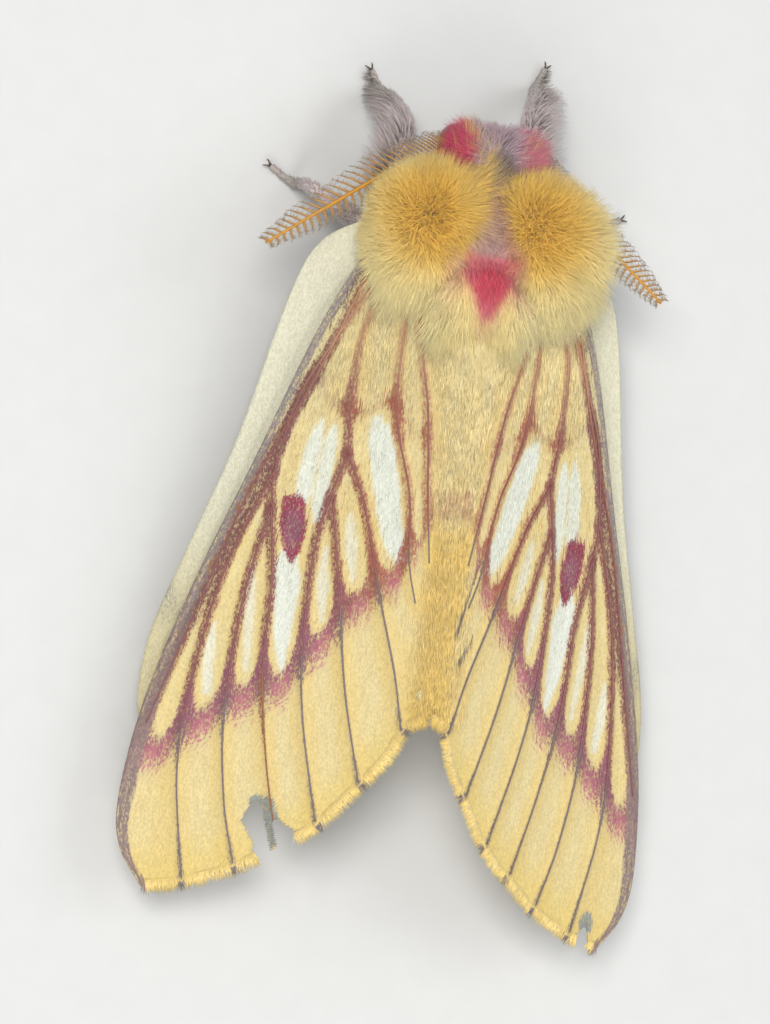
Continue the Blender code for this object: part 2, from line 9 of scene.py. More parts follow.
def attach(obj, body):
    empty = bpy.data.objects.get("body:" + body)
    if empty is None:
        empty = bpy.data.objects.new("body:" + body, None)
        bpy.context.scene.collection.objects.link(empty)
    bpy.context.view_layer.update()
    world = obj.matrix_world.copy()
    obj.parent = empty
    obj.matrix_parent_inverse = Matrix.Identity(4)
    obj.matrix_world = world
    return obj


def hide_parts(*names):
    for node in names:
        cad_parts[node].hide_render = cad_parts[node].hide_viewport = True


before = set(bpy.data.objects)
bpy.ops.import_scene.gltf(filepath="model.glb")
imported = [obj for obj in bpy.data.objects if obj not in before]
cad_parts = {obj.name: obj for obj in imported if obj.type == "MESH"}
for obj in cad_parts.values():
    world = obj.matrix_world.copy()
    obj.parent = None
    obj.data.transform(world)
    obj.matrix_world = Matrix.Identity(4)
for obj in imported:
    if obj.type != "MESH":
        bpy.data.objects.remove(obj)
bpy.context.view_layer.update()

# The view: the moth lies on a plain pale floor under soft studio lights. The camera looks down
# on its back from the place that the picture was taken from.
MM = 0.001
PLACE = np.array((1.0, -2.5, 0.0))
CAMERA_TARGET = Vector((-1.5885, -2.5, 3.3))
CAMERA_DISTANCE = 230.0
CAMERA_LEAN_LEFT = 0.2632
CAMERA_LEAN_REAR = 0.0932
CAMERA_ROLL = 0.0979
PICTURE_HEIGHT = 61.44
SENSOR = 36.0

back = Vector((-math.sin(CAMERA_LEAN_LEFT) * math.cos(CAMERA_LEAN_REAR),
               -math.sin(CAMERA_LEAN_REAR),
               math.cos(CAMERA_LEAN_LEFT) * math.cos(CAMERA_LEAN_REAR)))
level_right = Vector((0.0, 1.0, 0.0)).cross(back).normalized()
level_up = back.cross(level_right)
right = math.cos(CAMERA_ROLL) * level_right + math.sin(CAMERA_ROLL) * level_up
up = back.cross(right)
camera = bpy.data.objects.new("camera", bpy.data.cameras.new("camera"))
camera.data.sensor_width = SENSOR
camera.data.lens = SENSOR * CAMERA_DISTANCE / PICTURE_HEIGHT
camera.data.clip_start = 0.01
camera.data.clip_end = 10.0
turn = Matrix((right, up, back)).transposed().to_4x4()
camera.matrix_world = Matrix.Translation((CAMERA_TARGET + back * CAMERA_DISTANCE) * MM) @ turn
bpy.context.scene.collection.objects.link(camera)
bpy.context.scene.camera = camera
bpy.context.scene.view_settings.view_transform = "Standard"


def soft_light(name, place, size, power, colour):
    """A square area light that faces the moth."""
    lamp = bpy.data.lights.new(name, "AREA")
    lamp.size = size * MM
    lamp.energy = power
    lamp.color = colour
    light = bpy.data.objects.new(name, lamp)
    place = Vector(place)
    light.matrix_world = Matrix.Translation(place * MM) @ place.to_track_quat("Z", "Y").to_matrix().to_4x4()
    bpy.context.scene.collection.objects.link(light)


soft_light("key", (-120, 50, 350), 150, 1.02, (1.0, 0.985, 0.96))
soft_light("fill", (260, 60, 260), 220, 0.46, (0.96, 0.98, 1.0))
soft_light("rear", (-40, -300, 240), 220, 0.60, (1.0, 1.0, 1.0))
world = bpy.data.worlds.new("studio")
world.use_nodes = True
world.node_tree.nodes["Background"].inputs["Color"].default_value = (0.95, 0.97, 1.0, 1.0)
world.node_tree.nodes["Background"].inputs["Strength"].default_value = 0.40
bpy.context.scene.world = world


class Wire:
    """A socket of a material's nodes. Arithmetic on wires adds the Math nodes that it needs."""

    def __init__(self, tree, socket=None):
        self.tree = tree
        self.socket = socket

    def node(self, kind, settings=None, values=None, out=0):
        made = self.tree.nodes.new("ShaderNode" + kind)
        for key, value in (settings or {}).items():
            if key == "stops":
                ramp = made.color_ramp.elements
                while len(ramp) < len(value):
                    ramp.new(1.0)
                for stop, (position, colour) in zip(ramp, value):
                    stop.position = position
                    stop.color = (*colour, 1.0)
            else:
                setattr(made, key, value)
        for key, value in (values or {}).items():
            if isinstance(value, Wire):
                self.tree.links.new(value.socket, made.inputs[key])
            else:
                made.inputs[key].default_value = value
        return Wire(self.tree, made.outputs[out])

    def maths(self, operation, *values):
        return self.node("Math", {"operation": operation}, dict(enumerate(values)))

    def __add__(self, other):
        return self.maths("ADD", self, other)

    __radd__ = __add__

    def __sub__(self, other):
        return self.maths("SUBTRACT", self, other)

    def __rsub__(self, other):
        return self.maths("SUBTRACT", other, self)

    def __mul__(self, other):
        return self.maths("MULTIPLY", self, other)

    __rmul__ = __mul__

    def mixed(self, first, second):
        """The first colour where this wire is 0 and the second where it is 1."""
        return self.node("Mix", {"data_type": "RGBA"}, {0: self, 6: first, 7: second}, out=2)

    def shaded(self, colour):
        """A colour made lighter or darker by this wire."""
        grey = self.node("CombineColor", None, {0: self, 1: self, 2: self})
        return self.node("Mix", {"data_type": "RGBA", "blend_type": "MULTIPLY"},
                         {0: 1.0, 6: colour, 7: grey}, out=2)


def material(name, colour, roughness, **sockets):
    """A named material, its shader and a wire that starts its nodes."""
    made = bpy.data.materials.new(name)
    made.use_nodes = True
    shader = made.node_tree.nodes["Principled BSDF"]
    shader.inputs["Base Color"].default_value = (*colour, 1.0)
    shader.inputs["Roughness"].default_value = roughness
    for key, value in sockets.items():
        shader.inputs[key.replace("_", " ")].default_value = value
    return made, shader, Wire(made.node_tree)


def connect(wire, shader, socket):
    wire.tree.links.new(wire.socket, shader.inputs[socket])


def tone(red, green, blue):
    """A colour from its three screen values, 0 to 255."""
    values = np.array((red, green, blue)) / 255.0
    return np.where(values < 0.04045, values / 12.92, ((values + 0.055) / 1.055) ** 2.4)


def piece(name, shape, finish, smooth=True):
    """The object of a bmesh, whose points are in millimetres."""
    bmesh.ops.scale(shape, vec=(MM, MM, MM), verts=shape.verts)
    mesh = bpy.data.meshes.new(name)
    shape.to_mesh(mesh)
    shape.free()
    if smooth:
        mesh.shade_smooth()
    mesh.materials.append(finish)
    made = bpy.data.objects.new(name, mesh)
    bpy.context.scene.collection.objects.link(made)
    return made


paper, paper_shader, wire = material("studio_paper", (0.74, 0.74, 0.73), 0.9)
grain = wire.node("TexNoise", None, {"Scale": 900.0, "Detail": 3.0})
connect(grain.node("Bump", None, {"Strength": 0.05, "Distance": 0.0001, "Height": grain}), paper_shader, "Normal")
connect((0.96 + 0.06 * grain).shaded((0.59, 0.59, 0.58, 1.0)), paper_shader, "Base Color")
shape = bmesh.new()
bmesh.ops.create_grid(shape, x_segments=1, y_segments=1, size=900.0)
floor = piece("floor", shape, paper, smooth=False)

# Wings: four thin membranes on raised veins, covered with powdery scales. The forewings lie as a
# roof over the hindwings, whose front edges show beside them. Each grows from the thorax's side.
RIDGE_FRONT = 1.7
RIDGE_HEIGHT = 10.5
RIDGE_FALL = 0.0137
RIDGE_SLOPE = 0.514
SEAM = 0.03
SLOPE_LOSS = 0.0134
FOLD_ANGLE = 0.091
FOLD_PIVOT = np.array((4.5, -6.0))
FOLD_SHIFT = np.array((0.41, 0.23))
HINDWING_LIFT = -1.05
MEMBRANE = 0.16
VEIN_HEIGHT = 0.13

FOREWING_COSTA = ((4.3, -16.7), (7.0, -13.4), (9.6, -8.2), (12.6, -0.1), (15.0, 6.3),
                  (17.4, 13.9), (18.4, 19.9), (18.1, 23.0), (16.6, 25.3))
FOREWING_REAR = ((3.6, -16.7), (2.6, -15.0), (2.4, -9.6), (0.0, -8.6), (0.0, 13.4), (0.9, 14.2),
                 (1.9, 14.7), (2.9, 16.6), (4.5, 18.5), (6.7, 20.9), (8.8, 22.3), (11.3, 23.8),
                 (14.3, 24.9), (16.4, 25.3))
HINDWING_COSTA = ((5.6, -15.4), (7.8, -14.9), (9.9, -13.4), (11.3, -10.0), (13.4, -1.7),
                  (15.7, 5.2), (17.4, 10.6), (17.6, 15.0), (16.0, 18.0), (13.6, 19.3))
HINDWING_REAR = ((5.0, -15.4), (2.6, -14.5), (2.4, -9.6), (0.0, -8.6), (0.0, 12.8),
                 (0.9, 13.3), (1.6, 13.8), (2.7, 14.9), (4.6, 16.8), (8.0, 18.9), (12.5, 19.3))

# Lines of the wing's plan, from the base out: each vein, named as on any moth's wing.
FOREWING_VEINS = {
    "first_radial": ((6.0, -13.6), (6.9, -12.0), (9.2, -6.0), (12.6, 1.4), (15.0, 8.6), (17.3, 15.8)),
    "radial_stem": ((6.4, -11.6), (8.6, -7.6), (10.3, -4.2), (11.3, 0.2), (11.3, 2.4)),
    "upper_fork": ((11.3, 0.2), (13.6, 6.2), (15.0, 13.6), (15.2, 18.6), (14.3, 24.6)),
    "middle_fork": ((11.3, 2.4), (12.4, 8.2), (12.8, 14.8), (12.3, 19.8), (11.4, 23.4)),
    "lower_fork": ((11.3, 2.4), (10.8, 6.9), (10.8, 12.0), (10.1, 17.1), (9.0, 22.0)),
    "cubital_stem": ((5.2, -14.6), (5.8, -12.3), (6.9, -8.3), (7.2, -4.6), (7.1, -1.1)),
    "upper_cubital": ((7.1, -1.1), (8.4, 4.1), (8.6, 10.4), (8.1, 15.0), (6.8, 20.6)),
    "middle_cubital": ((7.7, 1.7), (6.7, 7.5), (5.8, 13.0), (4.5, 18.1)),
    "lower_cubital": ((7.1, -1.1), (5.8, 1.9), (4.3, 7.3), (3.0, 11.6), (2.3, 14.8)),
    "fold": ((4.3, -12.0), (4.5, -8.0), (4.4, -3.4), (3.2, 1.0), (2.8, 5.0), (2.2, 7.4)),
    "anal": ((3.9, -11.6), (3.4, -8.0), (2.6, -4.0), (2.1, 0.9), (1.6, 5.0)),
}
HINDWING_VEINS = {
    "costal": ((6.8, -13.2), (9.8, -9.0), (13.0, 0.0), (16.6, 11.5)),
    "radial": ((6.6, -11.5), (10.0, -3.0), (13.0, 6.0), (15.4, 17.0)),
    "medial": ((6.0, -9.0), (8.8, 0.0), (10.8, 9.0), (11.6, 18.8)),
    "cubital": ((5.4, -8.0), (6.6, 0.0), (7.2, 9.0), (7.6, 18.8)),
    "anal": ((4.6, -7.0), (3.8, 1.0), (3.4, 9.0), (3.0, 17.4)),
}

CREAM = tone(241, 226, 172)
YELLOW = tone(241, 213, 138)
STRONG_YELLOW = tone(238, 203, 106)
MARGIN_YELLOW = tone(242, 212, 122)
WHITE = tone(241, 244, 228)
MAROON = tone(142, 84, 80)
RED_BROWN = tone(168, 92, 70)
PALE_BROWN = tone(186, 136, 104)
PLUM = tone(148, 84, 104)
PINK = tone(200, 116, 130)
SLATE = tone(122, 108, 108)
COSTAL_GREY = tone(146, 134, 132)
COSTAL_DARK = tone(100, 70, 74)
RUBBED = tone(158, 98, 44)
SPOT_CRIMSON = tone(156, 46, 76)
SPOT_PLUM = tone(140, 92, 118)
BARE_GREY = tone(146, 152, 148)


def smooth_path(points, count):
    """Points along a smooth curve through the given ones."""
    points = np.array(points, float)
    padded = np.vstack((2 * points[0] - points[1], points, 2 * points[-1] - points[-2]))
    spans = len(points) - 1
    out = []
    for place in np.linspace(0, spans, count):
        i = min(int(place), spans - 1)
        t = place - i
        p0, p1, p2, p3 = padded[i:i + 4]
        out.append(0.5 * (2 * p1 + (p2 - p0) * t + (2 * p0 - 5 * p1 + 4 * p2 - p3) * t * t
                          + (3 * p1 - 3 * p2 + p3 - p0) * t ** 3))
    return np.array(out)


def on_roof(side, plan, lift):
    """Places on the roof of points of the wing's plan. The plan is the left wing's."""
    s, b = plan[:, 0], plan[:, 1]
    if side > 0:
        c, k = math.cos(FOLD_ANGLE), math.sin(FOLD_ANGLE)
        ds, db = s - FOLD_PIVOT[0], b - FOLD_PIVOT[1]
        s = ds * c - db * k + FOLD_PIVOT[0] + FOLD_SHIFT[0]
        b = ds * k + db * c + FOLD_PIVOT[1] + FOLD_SHIFT[1]
    slope = RIDGE_SLOPE - SLOPE_LOSS * s
    x = side * (math.sin(RIDGE_SLOPE) - np.sin(slope)) / SLOPE_LOSS
    drop = (np.cos(slope) - math.cos(RIDGE_SLOPE)) / SLOPE_LOSS
    z = RIDGE_HEIGHT - drop - RIDGE_FALL * b + lift / np.cos(slope)
    return np.stack((x, RIDGE_FRONT - b, z), axis=1) + PLACE


def seam_edge(side, b):
    """How far across its plan a wing meets the other at the middle of the back."""
    if side < 0:
        return np.full(len(b), SEAM)
    c, k = math.cos(FOLD_ANGLE), math.sin(FOLD_ANGLE)
    return (SEAM - FOLD_PIVOT[0] - FOLD_SHIFT[0] + (b - FOLD_PIVOT[1]) * k) / c + FOLD_PIVOT[0]


def line_distance(plan, line, count=24):
    """Each point's distance to a line of the plan, and how far along the line it lies, 0 to 1."""
    path = smooth_path(line, count)
    best = np.full(len(plan), 1e9)
    along = np.zeros(len(plan))
    for i, (start, end) in enumerate(zip(path, path[1:])):
        step = end - start
        t = np.clip(((plan - start) @ step) / (step @ step), 0, 1)
        away = np.hypot(*(plan - start - t[:, None] * step).T)
        nearer = away < best
        best[nearer] = away[nearer]
        along[nearer] = (i + t[nearer]) / (count - 1)
    return best, along


def fade(value, start, end):
    """A smooth step from 0 at the start to 1 at the end."""
    t = np.clip((value - start) / (end - start), 0, 1)
    return t * t * (3 - 2 * t)


def ripple(plan, seed, across, along):
    """Soft streaks along the wing, -1 to 1, of the given size across and along."""
    draw = np.random.default_rng(seed)
    total = np.zeros(len(plan))
    for _ in range(9):
        angle, phase = draw.uniform(-0.35, 0.35), draw.uniform(0, 2 * np.pi)
        size = draw.uniform(0.6, 1.5)
        u = plan[:, 0] * math.cos(angle) - plan[:, 1] * math.sin(angle)
        v = plan[:, 0] * math.sin(angle) + plan[:, 1] * math.cos(angle)
        total += np.sin(2 * np.pi * u / (across * size) + 1.7 * np.sin(2 * np.pi * v / (along * size) + phase))
    return total / 4.5


def paint_over(colours, colour, amount):
    amount = np.clip(amount, 0, 1)[:, None]
    return colours * (1 - amount) + colour * amount


def lay(marks, colour, amount):
    """Lays one more marking over the others: its colour, and the share of scales that has it."""
    kept, held = marks
    amount = np.clip(amount, 0, 1)
    total = 1 - (1 - held) * (1 - amount)
    share = (amount / np.maximum(total, 1e-6))[:, None]
    return kept * (1 - share) + colour * share, total


def inside(plan, polygon):
    """Which points of the plan lie inside a polygon."""
    s, b = plan.T
    found = np.zeros(len(plan), bool)
    for (s0, b0), (s1, b1) in zip(polygon, polygon[1:] + polygon[:1]):
        crosses = (b0 > b) != (b1 > b)
        found ^= crosses & (s < s0 + (s1 - s0) * (b - b0) / (b1 - b0 + 1e-12))
    return found


OUTER_BAND = ((1.2, 2.6, 3.6, 5.7, 7.6, 9.7, 11.7, 14.0, 16.3),
              (2.2, 3.6, 5.2, 6.9, 9.4, 12.1, 12.8, 14.4, 16.4))
INNER_BAND = ((10.4, -4.6), (9.3, -5.2), (8.5, -4.4), (7.2, -3.6), (5.9, -3.7), (4.6, -4.4),
              (3.5, -2.7), (2.4, -2.3), (1.3, -2.0))
WHITE_STREAKS = (
    (((5.45, -3.1), (5.05, -1.5), (4.5, 1.0), (4.1, 2.8), (3.4, 4.9)),
     ((0, 0.1, 0.3, 0.6, 0.9, 1), (0.32, 0.62, 0.76, 0.72, 0.58, 0.3)), 1.0),
    (((9.95, 5.4), (9.85, 7.5), (9.8, 9.8), (9.65, 12.0)),
     ((0, 0.2, 0.7, 1), (0.6, 0.78, 0.5, 0.06)), 1.0),
    (((8.8, -2.8), (9.25, -0.5), (9.45, 1.7)), ((0, 0.25, 0.9, 1), (0.15, 0.40, 0.50, 0.4)), 0.95),
    (((8.0, -2.6), (8.25, -0.6), (8.5, 3.0)), ((0, 0.25, 0.9, 1), (0.12, 0.38, 0.42, 0.2)), 0.95),
    (((7.75, 4.6), (7.75, 6.6), (7.55, 8.8)), ((0, 0.5, 1), (0.1, 0.34, 0.12)), 0.7),
    (((6.5, 2.6), (6.3, 4.3), (6.0, 6.3)), ((0, 0.5, 1), (0.1, 0.36, 0.12)), 0.65),
    (((12.0, 6.0), (11.9, 8.6), (11.75, 12.0)), ((0, 0.5, 1), (0.1, 0.3, 0.16)), 0.6),
    (((13.9, 9.6), (14.0, 11.4), (13.9, 13.6)), ((0, 0.5, 1), (0.1, 0.32, 0.2)), 0.75),
)
# Dark ends of the rear veins, which show only on the right wing's inner edge.
DASHES = {1: (((2.6, 4.4), (2.2, 6.3), (1.8, 8.2), (1.6, 9.2)), ((3.0, 9.3), (2.6, 9.9), (2.2, 10.7)))}
BARE = {-1: (((9.5, 21.2), (0.65, 1.7)),((10.2, 19.7), (0.6, 0.4))), 1: (((15.5, 23.9), (0.55, 0.75)),)}
STRIPS = {-1: ((9.75, 19.8), (9.45, 21.2), (9.05, 22.5))}
STRIP_HALF = 0.28
HOLES = {
    -1: [[(9.9, 23.9), (10.2, 22.0), (11.0, 20.8), (10.6, 19.8), (9.8, 19.9), (9.3, 20.9), (9.0, 20.7),
          (7.9, 21.4), (7.6, 22.2)]],
    1: [[(16.2, 25.6), (15.6, 24.0), (14.5, 25.4)]],
}


def forewing_markings(plan, side):
    """The forewing's ground colour, and its markings' colour and share of the scales."""
    s, b = plan.T
    wander = plan + 0.05 * np.stack((ripple(plan, 3, 0.7, 2.2), 3.0 * ripple(plan, 4, 0.45, 3.0)), axis=1)
    fine = ripple(plan, 5, 0.26, 2.4)
    broad = ripple(plan, 6, 1.6, 7.0)
    veins = {name: line_distance(plan, line) for name, line in FOREWING_VEINS.items()}
    distances = np.sort(np.array([away for away, _ in veins.values()]), axis=0)
    middle = 2 * distances[0] / (distances[0] + distances[1])
    edge = 1 - middle
    beyond = wander[:, 1] - np.interp(wander[:, 0], *OUTER_BAND)
    costa = smooth_path(FOREWING_COSTA, 40)
    from_costa = np.interp(b, costa[:, 1], costa[:, 0]) - s
    rear = np.array(FOREWING_REAR[4:])
    to_margin = np.interp(s, rear[:, 0], rear[:, 1]) - b
    ground = np.tile(CREAM, (len(plan), 1))
    ground = paint_over(ground, YELLOW, 0.25 + 0.35 * fade(middle, 0.85, 0.25) + 0.3 * fade(b, -9, 8) + 0.16 * broad)
    ground = paint_over(ground, CREAM, 0.5 * fade(beyond, 0.5, 2.0) * fade(middle, 0.35, 0.9) * (0.6 + 0.5 * fine))
    ground = paint_over(ground, MARGIN_YELLOW, 0.7 * fade(to_margin, 3.4, 0.6) * fade(beyond, 0.5, 2.5))
    ground = paint_over(ground, STRONG_YELLOW, fade(s, 2.6, 1.0) * fade(b, 1.5, 4.5) * (0.8 + 0.2 * fine))
    for line, half, strength in WHITE_STREAKS:
        away, along = line_distance(wander, line)
        half = np.interp(along, *half)
        ground = paint_over(ground, WHITE, strength * fade(away + 0.05 * fine, half + 0.16, half - 0.10))
    marks = (np.tile(MAROON, (len(plan), 1)), np.zeros(len(plan)))
    for name, (away, along) in veins.items():
        rear_vein = name in ("fold", "anal")
        half = 0.18 + 0.10 * fade(b, -9, -3)
        shown = fade(away + 0.03 * fine, half + 0.24, half - 0.08) * fade(beyond, 1.3, 0.2)
        strength = 0.66 + 0.12 * fade(b, -8, -2)
        if rear_vein:
            strength = 0.64 - 0.48 * fade(b, 2, 5)
        colour = MAROON + (RED_BROWN - MAROON) * fade(s, 9, 4)[:, None]
        colour = paint_over(colour, PALE_BROWN, 0.8 * fade(b, -4, -9) + 0.5 * rear_vein)
        marks = lay(marks, colour, shown * strength)
        line = fade(away, 0.26 + 0.16 * fade(along, 0.88, 0.985), 0.02) * fade(beyond, 0.2, 1.6)
        if not rear_vein:
            marks = lay(marks, SLATE, line * (0.56 + 0.2 * fade(along, 0.84, 0.95)))
    inner, _ = line_distance(wander, INNER_BAND)
    reach = 0.8 + 0.8 * fine + 0.9 * fade(edge, 0.4, 1.0)
    flame = fade(inner, np.maximum(reach, 0.3), 0.05) * (0.5 + 0.5 * fade(edge, 0.2, 0.8))
    marks = lay(marks, RED_BROWN + (MAROON - RED_BROWN) * fade(s, 6, 9)[:, None],
                flame * 0.8 * (0.25 + 0.75 * fade(s, 1.6, 3.6)) * fade(from_costa, 0.5, 1.2))
    lens = beyond + 3.2 * edge ** 2.4 + 0.25 * fine
    band = fade(lens, -0.4, 0.6) * fade(beyond + 0.3 * edge, 3.6 + 0.9 * fine, 0.7)
    colour = PLUM + (RED_BROWN - PLUM) * fade(s, 8, 4)[:, None]
    colour = paint_over(colour, PINK, 0.7 * fade(beyond, 0.1, 1.2) * fade(edge, 0.7, 0.2))
    colour = paint_over(colour, SLATE, 0.6 * fade(edge, 0.6, 0.95) * fade(beyond, -0.5, 0.9))
    marks = lay(marks, colour, 0.86 * band * fade(s, 1.2, 3.0))
    streak = fade(beyond, 0.0, 0.8) * fade(beyond, 4.6, 1.2) * fade(edge, 0.85, 0.2)
    marks = lay(marks, PINK, 0.5 * streak * np.clip(0.4 + 0.9 * fine, 0, 1) * fade(s, 1.5, 4.0))
    marks = lay(marks, PALE_BROWN, 0.45 * fade(s, 2.3, 0.9) * fade(np.abs(b - 1.6), 1.6, 0.4))
    streaky = ripple(np.stack((from_costa, b), axis=1), 8, 0.3, 9.0)
    zone = np.interp(b, (-14, -2, 5, 12, 20, 24), (0.6, 0.42, 0.5, 0.85, 0.9, 0.5))
    grey = paint_over(np.tile(COSTAL_GREY, (len(plan), 1)), MAROON, 0.5 * fade(b, 4, 11) * (0.5 + 0.5 * streaky))
    marks = lay(marks, grey, fade(from_costa, zone + 0.15, zone - 0.1) * np.clip(0.86 + 0.25 * streaky, 0, 1))
    for offset, width, strength in ((0.72, 0.07, 0.6), (1.02, 0.08, 0.65), (1.4, 0.08, 0.45)):
        place = offset * (0.6 + 0.4 * fade(b, 20, 4)) * (0.5 + 0.5 * fade(b, -14, -6))
        line = fade(np.abs(from_costa - place) + 0.03 * fine, width + 0.12, width - 0.03)
        marks = lay(marks, COSTAL_DARK, line * strength * fade(b, 14, 8) * (0.8 + 0.3 * fine))
    rub, along = line_distance(wander, ((6.9, -12.0), (9.2, -6.0), (11.2, -1.8), (13.2, 2.6), (15.0, 8.0)))
    marks = lay(marks, RUBBED, fade(rub, 0.16, 0.02) * 0.85 * fade(ripple(plan, 9, 1.2, 3.0), 0.0, 0.5))
    rub, along = line_distance(wander, ((10.8, 12.4), (10.75, 13.6), (10.4, 15.6), (10.1, 17.2)))
    marks = lay(marks, RUBBED, fade(rub, 0.14, 0.02) * 0.8 * fade(along, 1.0, 0.6))
    wide = np.interp(wander[:, 1], (1.5, 1.9, 3.5, 4.7, 5.8), (0.45, 0.74, 0.88, 0.6, 0.02))
    spot = fade(np.abs(wander[:, 0] - 9.85 + 0.06 * (wander[:, 1] - 3.6)) - wide + 0.08 * fine, 0.14, -0.12)
    spot *= fade(wander[:, 1] + 0.15 * fine, 1.4, 1.75) * fade(wander[:, 1], 6.0, 5.7)
    speck = np.random.default_rng(12).random(len(plan))
    heart = fade(np.hypot((s - 9.85) / 0.6, (b - 3.6) / 1.2), 1.5, 0.4) * (0.3 + 0.6 * speck)
    heart = paint_over(np.tile(SPOT_CRIMSON, (len(plan), 1)), SPOT_PLUM, heart)
    marks = lay(marks, heart, 0.94 * spot)
    for line in DASHES.get(side, ()):
        away, along = line_distance(plan, line)
        marks = lay(marks, SLATE, 0.8 * fade(away, 0.10 + 0.14 * along ** 1.5, 0.02 + 0.06 * along))
    for centre, half in BARE[side]:
        bare = np.hypot((s - centre[0]) / half[0], (b - centre[1]) / half[1])
        marks = lay(marks, BARE_GREY, 0.9 * fade(bare + 0.2 * fine, 1.25, 0.75))
    return np.clip(ground, 0, 1), np.clip(marks[0] * (0.82 + 0.36 * speck)[:, None], 0, 1), marks[1]


def hindwing_markings(plan, side):
    """The hindwing's colours: cream, yellower toward its end, with a grey smudge by the costa."""
    s, b = plan.T
    fine = ripple(plan, 7, 0.35, 2.4)
    ground = np.tile(tone(242, 238, 210), (len(plan), 1))
    ground = paint_over(ground, tone(230, 214, 158), 0.8 * fade(b, 0, 12) + 0.12 * fine + 0.08 * side)
    smudge = np.hypot((s - 16.6) / 1.1, (b - 8.4) / 1.9)
    marks = (np.tile(SLATE, (len(plan), 1)), np.zeros(len(plan)))
    marks = lay(marks, tone(134, 136, 132), 0.5 * fade(smudge + 0.15 * fine, 1.2, 0.4))
    for line in HINDWING_VEINS.values():
        away, along = line_distance(plan, line)
        marks = lay(marks, tone(176, 162, 124), fade(away, 0.2, 0.05) * (0.2 + 0.4 * fade(along, 0.85, 1.0)))
    return np.clip(ground, 0, 1), marks[0], marks[1]


def add_colours(mesh, colours, name="tint", share=1.0):
    """Keeps a colour and a share for each point of a mesh, for its material to read."""
    layer = mesh.color_attributes.new(name, "FLOAT_COLOR", "POINT")
    values = np.ones((len(colours), 4), np.float32)
    values[:, :3] = colours
    values[:, 3] = share
    layer.data.foreach_set("color", values.ravel())


def membrane_finish(name):
    """Powdery scales: each has the ground's or the marking's colour, by chance and by its place."""
    made, shader, wire = material(name, (0.8, 0.7, 0.4), 0.72, Sheen_Weight=0.2, Sheen_Roughness=0.4)
    ground = wire.node("Attribute", {"attribute_name": "tint"})
    mark = wire.node("Attribute", {"attribute_name": "mark"})
    share = wire.node("Attribute", {"attribute_name": "mark"}, out=3)
    plan = wire.node("UVMap", {"uv_map": "plan"})
    stretched = wire.node("Mapping", None, {"Vector": plan, "Scale": (1.0, 0.5, 1.0)})
    chance = wire.node("TexWhiteNoise", {"noise_dimensions": "3D"},
                       {"Vector": wire.node("TexVoronoi", None, {"Vector": stretched, "Scale": 720.0}, out=2)})
    scales = wire.node("TexNoise", None, {"Vector": stretched, "Scale": 620.0, "Detail": 3.0, "Roughness": 0.7})
    streaks = wire.node("TexNoise", None, {"Vector": wire.node("Mapping", None, {"Vector": plan, "Scale": (1.0, 0.12, 1.0)}),
                                           "Scale": 260.0, "Detail": 3.0})
    level = share + 0.55 * chance + 0.35 * scales - 0.45
    marked = level.node("MapRange", {"interpolation_type": "SMOOTHSTEP"},
                        {"Value": level, "From Min": 0.28, "From Max": 0.96})
    powder = 0.46 + 0.16 * chance + 0.14 * scales + 0.12 * streaks
    connect(powder.shaded(marked.mixed(ground, mark)), shader, "Base Color")
    relief = 0.6 * chance + scales + 0.6 * streaks
    connect(wire.node("Bump", None, {"Strength": 0.3, "Distance": 0.00005, "Height": relief}), shader, "Normal")
    connect(0.60 + 0.2 * scales, shader, "Roughness")
    return made


def vein_finish(name):
    """Veins: bare glossy chitin tubes, worn free of scales."""
    made, shader, wire = material(name, (0.3, 0.2, 0.15), 0.45)
    tint = wire.node("Attribute", {"attribute_name": "tint"})
    place = wire.node("TexCoord", out=3)
    worn = wire.node("TexNoise", None, {"Vector": place, "Scale": 4500.0, "Detail": 2.0})
    connect((0.56 + 0.44 * worn).shaded(tint), shader, "Base Color")
    connect(wire.node("Bump", None, {"Strength": 0.4, "Distance": 0.00002, "Height": worn}), shader, "Normal")
    return made


PLAN_SCALE = 50.0


